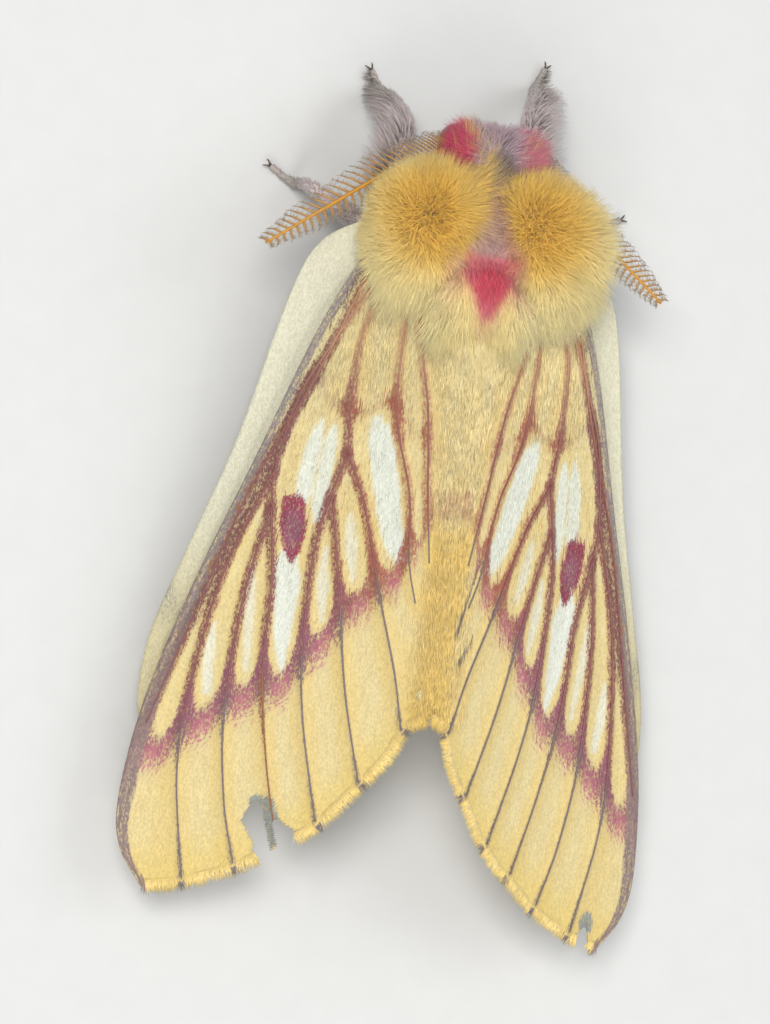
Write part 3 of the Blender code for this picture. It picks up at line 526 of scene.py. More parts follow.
def wing(name, side, lift, costa, rear, veins, markings, finish, columns, rows, holes=(), strip=None):
    """A fine sheet between the costa and the rear edge, raised along its veins and sunk between.
    Holes are torn out of it. A strip may still cross a hole."""
    costa = smooth_path(costa, 60)
    rear = np.array(rear)
    shape = bmesh.new()
    bmesh.ops.create_grid(shape, x_segments=columns, y_segments=rows, size=1.0)
    flat = np.array([v.co[:2] for v in shape.verts]) * 0.5 + 0.5
    b = costa[0, 1] + (max(costa[-1, 1], rear[-1, 1]) - costa[0, 1]) * flat[:, 1]
    order = np.argsort(costa[:, 1])
    outer = np.interp(b, costa[order, 1], costa[order, 0])
    at_seam = rear[:, 0] < 0.1
    rear[at_seam, 0] = seam_edge(side, rear[at_seam, 1])
    inner = np.maximum(np.interp(b, rear[:, 1], rear[:, 0]), seam_edge(side, b))
    inner = np.minimum(inner, outer - 0.02)
    plan = np.stack((inner + (outer - inner) * flat[:, 0], b), axis=1)
    nearest = np.min([line_distance(plan, line)[0] for line in veins.values()], axis=0)
    relief = VEIN_HEIGHT * np.exp(-(nearest / 0.22) ** 2) - 0.07 * fade(nearest, 0.2, 1.1)
    points = on_roof(side, plan, lift + relief)
    for vertex, point in zip(shape.verts, points):
        vertex.co = point
    if side > 0:
        bmesh.ops.reverse_faces(shape, faces=shape.faces)
    made = piece(name, shape, finish)
    mesh = made.data
    ground, mark, share = markings(plan, side)
    add_colours(mesh, ground)
    add_colours(mesh, mark, "mark", share)
    corners = np.empty(len(mesh.loops), int)
    mesh.loops.foreach_get("vertex_index", corners)
    layer = mesh.uv_layers.new(name="plan")
    layer.data.foreach_set("uv", (plan[corners] / PLAN_SCALE + (0.1, 0.4)).astype(np.float32).ravel())
    lost = np.zeros(len(plan), bool)
    for hole in holes:
        lost |= inside(plan + 0.05 * np.stack((ripple(plan, 11, 0.7, 0.9), ripple(plan, 12, 0.5, 0.8)), axis=1), hole)
    if strip:
        lost &= line_distance(plan, strip)[0] > STRIP_HALF
    if lost.any():
        shape = bmesh.new()
        shape.from_mesh(mesh)
        bmesh.ops.delete(shape, geom=[v for v, gone in zip(shape.verts, lost) if gone], context="VERTS")
        shape.to_mesh(mesh)
        shape.free()
    thick = made.modifiers.new("Membrane", "SOLIDIFY")
    thick.thickness = MEMBRANE * MM
    thick.offset = -1.0
    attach(made, "root")
    return made


def tube(shape, path, radii, sides):
    """Adds a round tube: rings set across a path, bridged and closed."""
    rings = []
    points = []
    steps = np.gradient(path, axis=0)
    for spot, step, radius in zip(path, steps, radii):
        turn = Vector(step).to_track_quat("Z", "Y").to_matrix().to_4x4()
        ring = bmesh.ops.create_circle(shape, cap_ends=False, segments=sides, radius=radius,
                                       matrix=Matrix.Translation(Vector(spot)) @ turn)["verts"]
        edges = {edge for vertex in ring for edge in vertex.link_edges}
        if rings:
            bmesh.ops.bridge_loops(shape, edges=list(rings[-1] | edges))
        rings.append(edges)
        points.extend(ring)
    bmesh.ops.holes_fill(shape, edges=list(rings[0] | rings[-1]), sides=sides)
    faces = {face for vertex in points for face in vertex.link_faces}
    bmesh.ops.recalc_face_normals(shape, faces=list(faces))


VEIN_SIDES = 6


def vein_ribs(name, side, lift, veins, finish, holes=()):
    """The wing's veins as fine tubes that taper to the margin, bedded in the membrane's ridges."""
    shape = bmesh.new()
    colours = []
    for vein, line in veins.items():
        path = smooth_path(line, 48)
        kept = ~np.any([inside(path, hole) for hole in holes], axis=0) if holes else np.ones(len(path), bool)
        kept &= path[:, 0] > seam_edge(side, path[:, 1]) + 0.2
        path = path[kept]
        dark = fade(path[:, 1] - np.interp(path[:, 0], *OUTER_BAND), -1.0, 1.5)[:, None]
        colour = PALE_BROWN + (MAROON - PALE_BROWN) * fade(path[:, 1], -9, -3)[:, None]
        far = RUBBED if vein == "lower_fork" and side < 0 else SLATE
        colours.append(np.repeat(colour * (1 - dark) + far * dark, VEIN_SIDES, axis=0))
        tube(shape, on_roof(side, path, lift + VEIN_HEIGHT + 0.03), np.linspace(0.065, 0.045, len(path)), VEIN_SIDES)
    made = piece(name, shape, finish)
    add_colours(made.data, np.vstack(colours))
    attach(made, "root")
    return made


forewing_finish = membrane_finish("forewing_scales")
hindwing_finish = membrane_finish("hindwing_scales")
rib_finish = vein_finish("vein_chitin")
for side, word in ((-1, "left"), (1, "right")):
    forewing = wing(f"forewing_{word}_membrane", side, 0.05, FOREWING_COSTA, FOREWING_REAR, FOREWING_VEINS,
                    forewing_markings, forewing_finish, 112, 330, HOLES[side], STRIPS.get(side))
    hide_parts(f"forewing_{word}")
    ribs = vein_ribs(f"forewing_{word}_veins", side, 0.05, FOREWING_VEINS, rib_finish, HOLES[side])
    hindwing = wing(f"hindwing_{word}_membrane", side, HINDWING_LIFT + 0.05, HINDWING_COSTA, HINDWING_REAR,
                    HINDWING_VEINS, hindwing_markings, hindwing_finish, 70, 170)
    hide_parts(f"hindwing_{word}")

# Skin: one tough, unbroken coat of chitin over thorax, shoulders, head, abdomen and legs. Long
# hair hides it above. The legs bend at knee and ankle, and their feet lie on the floor.
SKIN_VOXEL = 0.13
THORAX_CENTRE = np.array((0.0, 15.3, 6.1))
HEAD_CENTRE = np.array((0.8, 22.1, 6.3))
SHOULDER_CENTRE = np.array((3.7, 16.6, 7.9))
ABDOMEN_FRONT = 10.3
ABDOMEN_LENGTH = 18.5
ABDOMEN_RINGS = 9
LEGS = {
    "foreleg_left": ((-3.6, 18.6, 3.9), (-4.3, 20.6, 3.7), (-3.6, 23.2, 3.5), (-4.2, 25.2, 2.0),
                     (-4.7, 26.0, 0.32), (-5.4, 27.2, 0.3)),
    "foreleg_right": ((3.6, 18.6, 3.9), (4.4, 20.8, 3.7), (4.0, 24.3, 3.6), (4.7, 26.9, 2.1),
                      (5.1, 27.5, 0.32), (5.7, 28.95, 0.3)),
    "midleg_left": ((-3.9, 15.9, 3.9), (-6.4, 17.2, 4.2), (-8.9, 19.0, 2.6), (-9.7, 19.6, 0.32),
                    (-11.1, 20.4, 0.3)),
    "midleg_right": ((3.9, 15.9, 3.9), (6.4, 17.2, 4.2), (8.8, 18.8, 2.6), (9.6, 19.3, 0.32),
                     (11.5, 20.2, 0.3)),
    "hindleg_left": ((-3.9, 13.0, 3.9), (-6.0, 10.6, 3.9), (-7.6, 6.8, 2.6), (-8.0, 5.8, 0.32),
                     (-8.5, 3.6, 0.3)),
    "hindleg_right": ((3.9, 13.0, 3.9), (6.0, 10.6, 3.9), (7.5, 6.8, 2.6), (7.9, 5.8, 0.32),
                      (8.4, 3.6, 0.3)),
}
LEG_RADII = ((0, 0.3, 0.55, 0.8, 1), (0.45, 0.46, 0.32, 0.24, 0.2))
LEG_PATHS = {name: smooth_path(joints, 24) for name, joints in LEGS.items()}


def egg(shape, centre, half):
    """Adds a ball, stretched to three half sizes."""
    place = Matrix.Translation(Vector(centre)) @ Matrix.Diagonal((*half, 1.0))
    bmesh.ops.create_icosphere(shape, subdivisions=4, radius=1.0, matrix=place)


def limb(shape, path, radii):
    """Adds a round limb of cones and balls along a path."""
    for start, end, first, second in zip(path, path[1:], radii, radii[1:]):
        step = Vector(end - start)
        turn = step.to_track_quat("Z", "Y").to_matrix().to_4x4()
        place = Matrix.Translation(Vector((start + end) / 2)) @ turn
        bmesh.ops.create_cone(shape, cap_ends=True, segments=12, radius1=first, radius2=second,
                              depth=step.length * 1.02, matrix=place)
        bmesh.ops.create_icosphere(shape, subdivisions=2, radius=first, matrix=Matrix.Translation(Vector(start)))


shape = bmesh.new()
egg(shape, THORAX_CENTRE - (0, 0, 0.7), (4.2, 5.1, 3.85))
egg(shape, THORAX_CENTRE + (0.2, -2.7, 2.3), (2.7, 2.0, 1.8))
for side in (-1, 1):
    egg(shape, SHOULDER_CENTRE * (side, 1, 1) + (0.2, -0.3, 0), (2.7, 3.4, 1.6))
    egg(shape, HEAD_CENTRE + (side * 0.7, 0.8, -1.2), (0.45, 0.7, 0.45))
egg(shape, HEAD_CENTRE - (0, 0.7, 0), (1.85, 1.4, 2.0))
egg(shape, HEAD_CENTRE - (0.3, 1.6, 0.3), (1.6, 1.4, 1.8))
for number in range(ABDOMEN_RINGS):
    t = (number + 0.4) / ABDOMEN_RINGS
    width = 3.4 * (0.80 + 0.55 * t - 1.05 * t ** 2 + 0.1 * t ** 3)
    egg(shape, (0, ABDOMEN_FRONT - ABDOMEN_LENGTH * t, 5.3 - 4.65 * t + 0.3 * t * t), (width, 1.75, width * 0.85))
for path in LEG_PATHS.values():
    limb(shape, path, np.interp(np.linspace(0, 1, 24), *LEG_RADII))
skin_finish, shader, wire = material("chitin_skin", (0.5, 0.4, 0.2), 0.6)
tint = wire.node("Attribute", {"attribute_name": "tint"})
place = wire.node("TexCoord", out=3)
mottle = wire.node("TexNoise", None, {"Vector": place, "Scale": 1500.0, "Detail": 4.0})
streak = wire.node("TexNoise", None, {"Vector": place, "Scale": 6000.0, "Detail": 2.0})
connect((0.7 + 0.6 * mottle).shaded(tint), shader, "Base Color")
connect(wire.node("Bump", None, {"Strength": 0.6, "Distance": 0.00006, "Height": mottle + 0.5 * streak}),
        shader, "Normal")
connect(0.45 + 0.3 * mottle, shader, "Roughness")
bmesh.ops.translate(shape, vec=PLACE, verts=shape.verts)
block = bpy.data.meshes.new("skin_block")
shape.to_mesh(block)
shape.free()
skin = bpy.data.objects.new("body_skin", block)
bpy.context.scene.collection.objects.link(skin)
remesh = skin.modifiers.new("One skin", "REMESH")
remesh.mode = "VOXEL"
remesh.voxel_size = SKIN_VOXEL
relax = skin.modifiers.new("Relax", "SMOOTH")
relax.factor = 0.5
relax.iterations = 3
bpy.context.view_layer.update()
whole = bpy.data.meshes.new_from_object(skin.evaluated_get(bpy.context.evaluated_depsgraph_get()))
skin.modifiers.clear()
skin.data = whole
bpy.data.meshes.remove(block)
skin_points = np.empty(len(whole.vertices) * 3)
whole.vertices.foreach_get("co", skin_points)
skin_points = skin_points.reshape(-1, 3)
skin_points[:, 2] = np.maximum(skin_points[:, 2], 0.02)
whole.vertices.foreach_set("co", (skin_points * MM).ravel())
whole.shade_smooth()
whole.update()
whole.materials.append(skin_finish)
whole.calc_loop_triangles()
skin_faces = np.empty(len(whole.loop_triangles) * 3, int)
whole.loop_triangles.foreach_get("vertices", skin_faces)
skin_faces = skin_faces.reshape(-1, 3)

GOLD = tone(240, 200, 96)
DEEP_GOLD = tone(228, 178, 68)
PALE = tone(250, 236, 176)
LILAC = tone(200, 162, 164)
HEAD_GREY = tone(188, 162, 170)
HEAD_CRIMSON = tone(214, 80, 112)
CRIMSON = tone(216, 80, 100)
CRIMSON_PALE = tone(226, 142, 146)
DUSK = tone(106, 82, 88)
BROWN = tone(160, 126, 84)
PURPLE_BROWN = tone(190, 132, 128)
LEG_GREY = tone(176, 166, 158)
LEG_LILAC = tone(220, 204, 202)
BELLY = tone(226, 200, 134)
JOINT = tone(70, 66, 68)


def spot_at(points, centre, half, soft=0.5):
    """1 inside an ellipse of the plan view and 0 outside it."""
    away = np.hypot((points[:, 0] - centre[0]) / half[0], (points[:, 1] - centre[1]) / half[1])
    return fade(away, 1 + soft, 1 - soft)


def leg_nearness(points):
    """Each point's distance to the nearest leg, its place along it, the leg's lie and its kind."""
    best = np.full(len(points), 1e9)
    place = np.zeros(len(points))
    lie = np.zeros((len(points), 3))
    front = np.zeros(len(points))
    for name, path in LEG_PATHS.items():
        steps = np.gradient(path, axis=0)
        for i, (spot, step) in enumerate(zip(path, steps)):
            away = np.linalg.norm(points - spot, axis=1)
            nearer = away < best
            best[nearer] = away[nearer]
            place[nearer] = i / (len(path) - 1)
            lie[nearer] = step / np.linalg.norm(step)
            front[nearer] = name.startswith("foreleg")
    return best, place, lie, front


LOBE_CENTRES = {-1: (-3.0, 17.7), 1: (3.4, 17.9)}
LOBE_SPREAD = (2.9, 4.3, 3.4, 5.4)


def parting(y):
    """Where the parting between the lobes lies, and half the width of the lilac hair in it."""
    middle = np.interp(y, (10.8, 14.0, 17.0, 19.0, 20.5), (0.3, 0.3, 0.8, 0.7, 0.9))
    return middle, np.interp(y, (14.4, 15.6, 16.6, 17.6, 18.8, 19.6), (1.9, 1.5, 0.95, 0.5, 0.28, 0.24))


def lobe_place(points):
    """A point's side of the parting, and how far it lies across and along its lobe of hair from
    the whorl: 1 at the edge."""
    side = np.where(points[:, 0] < parting(points[:, 1])[0], -1, 1)
    x = points[:, 0] - np.where(side < 0, LOBE_CENTRES[-1][0], LOBE_CENTRES[1][0])
    y = points[:, 1] - np.where(side < 0, LOBE_CENTRES[-1][1], LOBE_CENTRES[1][1])
    inner, outer, front, rear = LOBE_SPREAD
    return side, x / np.where(x * side < 0, inner, outer), y / np.where(y > 0, front, rear)


def coat_colours(points):
    """The colours of skin and coat at points of the body, as seen from above."""
    x, y, z = points.T
    side, u, v = lobe_place(points)
    out = np.hypot(u, v)
    outward = fade(u * side, -0.7, 0.1)
    colours = paint_over(np.tile(GOLD, (len(points), 1)), DEEP_GOLD, fade(out, 0.8, 0.1) * 0.8)
    colours = paint_over(colours, PALE, 0.9 * fade(out, 0.5, 1.2) * outward)
    colours = paint_over(colours, PALE, 0.75 * fade(y, 14.6, 12.4))
    colours = paint_over(colours, tone(232, 182, 156), 0.6 * spot_at(points, (-1.7, 13.9), (0.6, 1.3)))
    middle, half = parting(y)
    lilac = fade(np.abs(x - middle), half + 0.3, half - 0.3) * fade(y, 13.6, 14.6) * fade(y, 20.2, 19.7)
    colours = paint_over(colours, LILAC, 0.92 * lilac)
    colours = paint_over(colours, PURPLE_BROWN, 0.8 * spot_at(points, (2.2, 14.3), (0.6, 1.5)))
    colours = paint_over(colours, CRIMSON_PALE, 0.35 * lilac * fade(x, 1.0, 1.7))
    colours = paint_over(colours, PURPLE_BROWN * 0.8, 0.7 * spot_at(points, (0.9, 18.1), (0.35, 0.8)))
    colours = paint_over(colours, BROWN * 0.7, 0.75 * spot_at(points, (0.62, 19.3), (0.2, 0.6)))
    middle = np.interp(y, (11.0, 15.0), (0.15, 0.65))
    half = np.interp(y, (11.1, 12.6, 13.6, 15.0), (0.15, 0.85, 1.5, 1.75))
    crimson = fade(np.abs(x - middle), half + 0.35, half - 0.3) * fade(y, 15.5, 14.8) * fade(y, 10.9, 11.7)
    colours = paint_over(colours, CRIMSON, crimson)
    pale = 0.75 * fade(y, 13.2, 11.4) + 0.4 * fade(np.abs(x - middle), 0.5, 1.3)
    colours = paint_over(colours, CRIMSON_PALE, crimson * pale)
    head = paint_over(np.tile(HEAD_GREY, (len(points), 1)), HEAD_CRIMSON, fade(x, -0.4, -1.1))
    head = paint_over(head, HEAD_CRIMSON + (LILAC - HEAD_CRIMSON) * 0.3, fade(x, 1.8, 2.8))
    head = paint_over(head, LILAC, 0.6 * fade(x, 4.0, 5.0))
    front = np.maximum(fade(y, 21.2, 21.8), fade(z, 8.8, 8.2) * fade(y, 20.2, 20.8))
    centre = fade(np.abs(x - 0.85), 1.0, 0.7) * fade(y, 20.0, 20.4)
    front = np.maximum(front, centre)
    colours = colours * (1 - front)[:, None] + head * front[:, None]
    colours = paint_over(colours, DUSK, 0.95 * spot_at(points, (1.0, 20.7), (0.85, 0.95), 0.35))
    low = fade(z, 7.4, 5.4) * fade(y, 21.0, 20.0)
    colours = colours * (1 - low)[:, None] + (LEG_LILAC * 0.5 + BELLY * 0.5) * low[:, None]
    tail = fade(y, 10.9, 10.3) * fade(z, 9.0, 8.0)
    rings = 0.5 + 0.5 * np.cos(2 * np.pi * (ABDOMEN_FRONT - y) * ABDOMEN_RINGS / ABDOMEN_LENGTH)
    colours = colours * (1 - tail)[:, None] + (BELLY * (0.8 + 0.2 * rings)[:, None]) * tail[:, None]
    away, along, _, _ = leg_nearness(points)
    leg = fade(away, 1.5, 1.1) * fade(along, 0.08, 0.2) * fade(z, 7.0, 6.0)
    grey = LEG_LILAC + (LEG_GREY - LEG_LILAC) * fade(along, 0.35, 0.8)[:, None]
    return colours * (1 - leg)[:, None] + grey * leg[:, None]


corner_points = skin_points - PLACE
KNEES = np.array(((-3.2, 23.2, 3.5), (3.6, 24.3, 3.6)))
knee_away = np.min([np.linalg.norm(corner_points - knee, axis=1) for knee in KNEES], axis=0)
# The skin is painted in the coat's colours made darker, as painted shade deep under the hair; the knees are dark grey.
add_colours(whole, paint_over(coat_colours(corner_points) * 0.85, JOINT, fade(knee_away, 1.0, 0.6)))
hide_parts("thorax", "head", "abdomen", *LEGS)
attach(skin, "root")

# Coat: soft hair that grows out of the skin, combed along its lie. It stands in two great golden
# lobes on the thorax, parted by a lilac and crimson line, and lies short on head, legs and belly.
HAIRS_A_PIECE = 16500
THORAX_PIECES = 4
HAIR_PATCH = 0.003


def hair_finish(name, roughness=0.55):
    made, shader, wire = material(name, (0.7, 0.5, 0.2), roughness, Sheen_Weight=0.3, Sheen_Roughness=0.35)
    tint = wire.node("Attribute", {"attribute_name": "tint"})
    place = wire.node("TexCoord", out=3)
    uneven = wire.node("TexNoise", None, {"Vector": place, "Scale": 700.0, "Detail": 2.0})
    connect((0.78 + 0.44 * uneven).shaded(tint), shader, "Base Color")
    return made


def unit(vectors):
    return vectors / np.maximum(np.linalg.norm(vectors, axis=-1, keepdims=True), 1e-9)


def hair_template():
    """One hair: a three-sided spike with one bend, as its points and faces."""
    shape = bmesh.new()
    bmesh.ops.create_cone(shape, cap_ends=True, segments=3, radius1=1.0, radius2=0.0, depth=1.0)
    bmesh.ops.translate(shape, vec=(0, 0, 0.5), verts=shape.verts)
    bmesh.ops.bisect_plane(shape, geom=shape.verts[:] + shape.edges[:] + shape.faces[:],
                           plane_co=(0, 0, 0.5), plane_no=(0, 0, 1))
    bmesh.ops.remove_doubles(shape, verts=shape.verts, dist=1e-5)
    shape.verts.index_update()
    points = np.array([v.co[:] for v in shape.verts])
    faces = [[v.index for v in face.verts] for face in shape.faces]
    shape.free()
    return points, faces


HAIR_POINTS, HAIR_FACES = hair_template()


def grow(name, roots, starts, ends, lengths, widths, root_colours, tip_colours, spots, finish, flat=0.5):
    """A piece of many hairs. Each bends from its first direction to its last and tapers to a tip."""
    count = len(roots)
    t = HAIR_POINTS[:, 2][None, :, None]
    starts, ends = unit(starts), unit(ends)
    lengths = lengths[:, None, None]
    line = roots[:, None] + lengths * (starts[:, None] * t + (ends - starts)[:, None] * t * t / 2)
    along = unit(starts[:, None] * (1 - t) + ends[:, None] * t)
    beside = unit(np.cross(along, unit(starts - 0.7 * ends + (0.013, 0.007, 0.31))[:, None]))
    over = np.cross(beside, along)
    spread = (widths / 2)[:, None, None] * (1 + t)
    points = line + spread * (HAIR_POINTS[:, 0][None, :, None] * beside
                              + flat * HAIR_POINTS[:, 1][None, :, None] * over)
    points[..., 2] = np.maximum(points[..., 2], 0.03)
    corners = np.concatenate(HAIR_FACES)
    sizes = np.array([len(face) for face in HAIR_FACES])
    per_hair = len(HAIR_POINTS)
    mesh = bpy.data.meshes.new(name)
    mesh.vertices.add(count * per_hair)
    mesh.vertices.foreach_set("co", ((points + PLACE) * MM).astype(np.float32).ravel())
    mesh.loops.add(count * len(corners))
    mesh.loops.foreach_set("vertex_index",
                           (corners[None] + per_hair * np.arange(count)[:, None]).astype(np.int32).ravel())
    mesh.polygons.add(count * len(sizes))
    loops = np.tile(sizes, count)
    mesh.polygons.foreach_set("loop_start", np.concatenate(([0], np.cumsum(loops)[:-1])).astype(np.int32))
    mesh.update(calc_edges=True)
    mesh.validate()
    add_colours(mesh, (root_colours[:, None] * (1 - t) + tip_colours[:, None] * t).reshape(-1, 3))
    layer = mesh.uv_layers.new(name="OFBake")
    local = np.stack((HAIR_POINTS[:, 0] * 0.5, HAIR_POINTS[:, 2] - 0.5), axis=1)[corners] * HAIR_PATCH
    layer.data.foreach_set("uv", (spots[:, None] + local[None]).astype(np.float32).ravel())
    mesh.shade_smooth()
    mesh.materials.append(finish)
    made = bpy.data.objects.new(name, mesh)
    bpy.context.scene.collection.objects.link(made)
    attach(made, "root")
    return made


triangles = skin_points[skin_faces] - PLACE
middles = triangles.mean(axis=1)
crosses = np.cross(triangles[:, 1] - triangles[:, 0], triangles[:, 2] - triangles[:, 0])
areas = np.linalg.norm(crosses, axis=1) / 2
normals = unit(crosses)
leg_away, leg_along, leg_lie, leg_front = leg_nearness(middles)
on_leg = (leg_away < 0.62) & (leg_along > 0.12)


def scatter(weights, count, seed):
    """Random roots on the skin, denser where the weights are higher, and their triangles."""
    draw = np.random.default_rng(seed)
    odds = weights * areas
    chosen = draw.choice(len(odds), count, p=odds / odds.sum())
    a, b = draw.random(count), draw.random(count)
    over = a + b > 1
    a[over], b[over] = 1 - a[over], 1 - b[over]
    corners = triangles[chosen]
    roots = corners[:, 0] + a[:, None] * (corners[:, 1] - corners[:, 0]) + b[:, None] * (corners[:, 2] - corners[:, 0])
    return roots - 0.05 * normals[chosen], chosen, draw


def clumped(roots, directions, draw, size, pull):
    """Turns hairs toward the tip of the clump that they grow in."""
    count = max(1, int(len(roots) / size))
    heads = draw.choice(len(roots), count, replace=False)
    nearest = np.zeros(len(roots), int)
    for start in range(0, len(roots), 2000):
        part = roots[start:start + 2000]
        nearest[start:start + 2000] = ((part[:, None] - roots[heads][None]) ** 2).sum(-1).argmin(1)
    toward = roots[heads][nearest] - roots
    return unit(directions + pull * toward)


def around(roots, centre, length):
    """Places on an unwrap of the body round its long axis, from 0.05 to 0.95."""
    turn = np.arctan2(roots[:, 0] - centre[0], roots[:, 2] - centre[2]) / (2 * np.pi) + 0.5
    run = (roots[:, 1] - centre[1]) / length + 0.5
    return 0.05 + 0.9 * np.clip(np.stack((turn, run), axis=1), 0, 1)


gold_hair = hair_finish("thorax_hair")
x, y, z = middles.T
upper = (~on_leg & (y > 10.6) & (y < 20.9) & (z > 6.6)).astype(float)
upper *= 0.25 + fade(normals[:, 2], -0.3, 0.5)
for number in range(THORAX_PIECES):
    roots, chosen, draw = scatter(upper, HAIRS_A_PIECE, 20 + number)
    normal = normals[chosen]
    side, u, v = lobe_place(roots)
    inward = u * side < 0
    out = np.hypot(u, v)
    ahead = fade(v, 0.1, 0.5)
    whorl = fade(out, 0.75, 0.1)
    rise = np.interp(out, (0, 0.5, 1.0, 1.3), (0.25, 0.2, -0.1, -0.25))
    across = np.where(inward, (0.6 - 0.4 * ahead) * u, 1.15 * u)
    along = (1.1 + 0.5 * ahead) * v
    swirl = 0.35 * np.sin(1.7 * roots[:, 0] + np.sin(1.3 * roots[:, 1])) + 0.25 * np.sin(2.3 * roots[:, 1] + roots[:, 0])
    lean = np.stack((across * np.cos(swirl) - along * np.sin(swirl),
                     across * np.sin(swirl) + along * np.cos(swirl), np.zeros(len(u))), axis=1)
    lean /= np.hypot(0.3, np.linalg.norm(lean, axis=1))[:, None]
    starts = unit(normal * 0.5 + lean * 0.6 + (0, 0, 0.5))
    ends = unit(lean + rise[:, None] * (0, 0, 1.0))
    lengths = np.interp(out, (0, 0.6, 1.1), (2.0, 2.2, 2.7))
    outward = fade(u * side, 0.3, 0.8)
    lengths *= np.where(side < 0, 1 - 0.42 * outward, 1 + 0.35 * outward)
    lengths *= 1 - np.where(side < 0, 0.5, 0.2) * outward * fade(v, 0.2, 0.7)
    lengths *= 1 + ahead * (0.4 * fade(u * side, 0.1, -0.8)
                            - np.where(side < 0, 0.3, 0.1) * fade(u * side, -0.2, 0.3))
    rear = fade(roots[:, 1], 15.2, 13.2)[:, None]
    over_wings = np.stack((0.25 * side, -np.ones(len(u)), np.full(len(u), -0.3)), axis=1)
    ends = unit(ends * (1 - rear) + over_wings * rear)
    lengths *= 1 + 0.3 * rear[:, 0]
    middle = np.interp(roots[:, 1], (12.0, 15.0, 18.0, 19.6, 20.4), (0.4, 0.5, 0.6, 0.8, 0.7))
    half = np.interp(roots[:, 1], (12.0, 14.0, 16.0, 18.0, 19.6, 20.4), (1.4, 1.6, 1.0, 0.45, 0.6, 1.1))
    centre_line = np.abs(roots[:, 0] - middle) < half
    groove = np.where(roots[:, 1] > 20.0, 0.5, -1.0)
    mid_end = unit(np.stack((0.15 * (0.2 - roots[:, 0]), groove, np.where(roots[:, 1] < 15.6, 0.12, 0.5)), axis=1))
    starts = np.where(centre_line[:, None], unit(normal * 0.9 + mid_end * 0.5), starts)
    ends = np.where(centre_line[:, None], mid_end, ends)
    lengths = np.where(centre_line, np.interp(roots[:, 1], (12, 15.5, 17, 20), (2.3, 2.2, 1.2, 1.2)), lengths)
    shake = draw.normal(0, 1, (len(roots), 3))
    starts = unit(starts + (0.13 + 0.8 * whorl[:, None]) * shake * (1, 1, 0.3))
    stray = 0.17 + 0.6 * whorl * ~centre_line
    ends = unit(clumped(roots, ends, draw, 14, 0.6) + stray[:, None] * draw.normal(0, 1, (len(roots), 3)))
    lengths = lengths * draw.uniform(0.72, 1.12, len(roots))
    seen = roots + lengths[:, None] * (starts * 0.45 + ends * 0.25)
    seen[:, 1] = np.where(centre_line, seen[:, 1], np.minimum(seen[:, 1], 20.0))
    tips = coat_colours(seen) * draw.uniform(0.86, 1.14, len(roots))[:, None]
    pale = 0.6 * fade(out, 0.3, 1.0) * fade(u * side, -0.7, 0.1) * ~centre_line
    tips = paint_over(tips, PALE, pale)
    # Each hair's root is painted a little darker than the coat's colour there, as painted shade deep in the coat.
    grow(f"thorax_hair_{number + 1}", roots, starts, ends, lengths, draw.uniform(0.045, 0.075, len(roots)),
         coat_colours(roots) * 0.92, tips, around(roots, THORAX_CENTRE, 11.0), gold_hair)

short_hair = hair_finish("short_hair")
head_area = (~on_leg & (y > 20.5) & (z > 3.6)).astype(float)
eye_side = np.abs(x - HEAD_CENTRE[0]) > 1.6
head_area[eye_side & (np.abs(y - HEAD_CENTRE[1] - 0.2) < 1.2) & (np.abs(z - HEAD_CENTRE[2]) < 1.2)] = 0
roots, chosen, draw = scatter(head_area, 12000, 41)
normal = normals[chosen]
aside = np.clip((roots[:, :1] - 0.85) / 0.7, -1, 1) * fade(roots[:, 2:], 6.6, 7.2)
spread = aside * (2.2, 0.1, 0) + np.abs(aside) * (0, -0.3, 0.35)
starts = unit(normal + spread * 0.5 + (0, 0.3, 0.3) + 0.12 * draw.normal(0, 1, normal.shape))
ends = unit(clumped(roots, normal * 0.5 + spread + (0, 0.8, 0.2), draw, 12, 0.6) + 0.15 * draw.normal(0, 1, normal.shape))
lengths = draw.uniform(0.65, 1.05, len(roots)) * (np.interp(roots[:, 2], (4.5, 7.0), (0.7, 1.0)) + 1.6 * np.abs(aside[:, 0]))
seen = roots + spread * 0.6 + (0, 0.4, 0)
# The roots are painted much darker than the tips, as painted shade deep in the short coat.
grow("head_hair", roots, starts, ends, lengths, draw.uniform(0.045, 0.08, len(roots)),
     coat_colours(seen) * 0.6, coat_colours(seen) * draw.uniform(0.9, 1.25, len(roots))[:, None],
     around(roots, HEAD_CENTRE, 6.0), short_hair)

crowd = np.interp(leg_along, (0.1, 0.5, 0.8, 1), (1.0, 1.2, 0.9, 0.5)) * (1 + 1.2 * leg_front)
roots, chosen, draw = scatter(on_leg * crowd, 13000, 42)
normal, lie, along = normals[chosen], leg_lie[chosen], leg_along[chosen]
outer = unit(np.sign(roots[:, 0])[:, None] * np.cross(lie, (0, 0, 1.0)))
fringe = fade((normal * outer).sum(1), -0.3, 0.6) * leg_front[chosen]
combed = lie * (1.2 - 0.6 * fringe)[:, None] + normal * 0.35 + outer * fringe[:, None]
starts = unit(normal + lie * 0.6 + outer * 0.4 * fringe[:, None] + 0.12 * draw.normal(0, 1, normal.shape))
ends = unit(clumped(roots, combed, draw, 10, 0.5) + 0.12 * draw.normal(0, 1, normal.shape))
short = np.interp(along, (0.1, 0.35, 0.6, 1), (0.9, 0.6, 0.4, 0.25))
lengths = short + fringe * np.interp(along, (0.2, 0.4, 0.65, 0.85, 1), (1.3, 1.7, 1.3, 0.6, 0.2))
lengths *= draw.uniform(0.7, 1.1, len(roots))
colours = coat_colours(roots)
# The roots are painted much darker than the tips, as painted shade deep in the short coat.
grow("leg_hair", roots, starts, ends, lengths, draw.uniform(0.04, 0.075, len(roots)), colours * 0.55,
     colours * draw.uniform(0.85, 1.25, len(roots))[:, None], around(roots, THORAX_CENTRE, 34.0), short_hair)

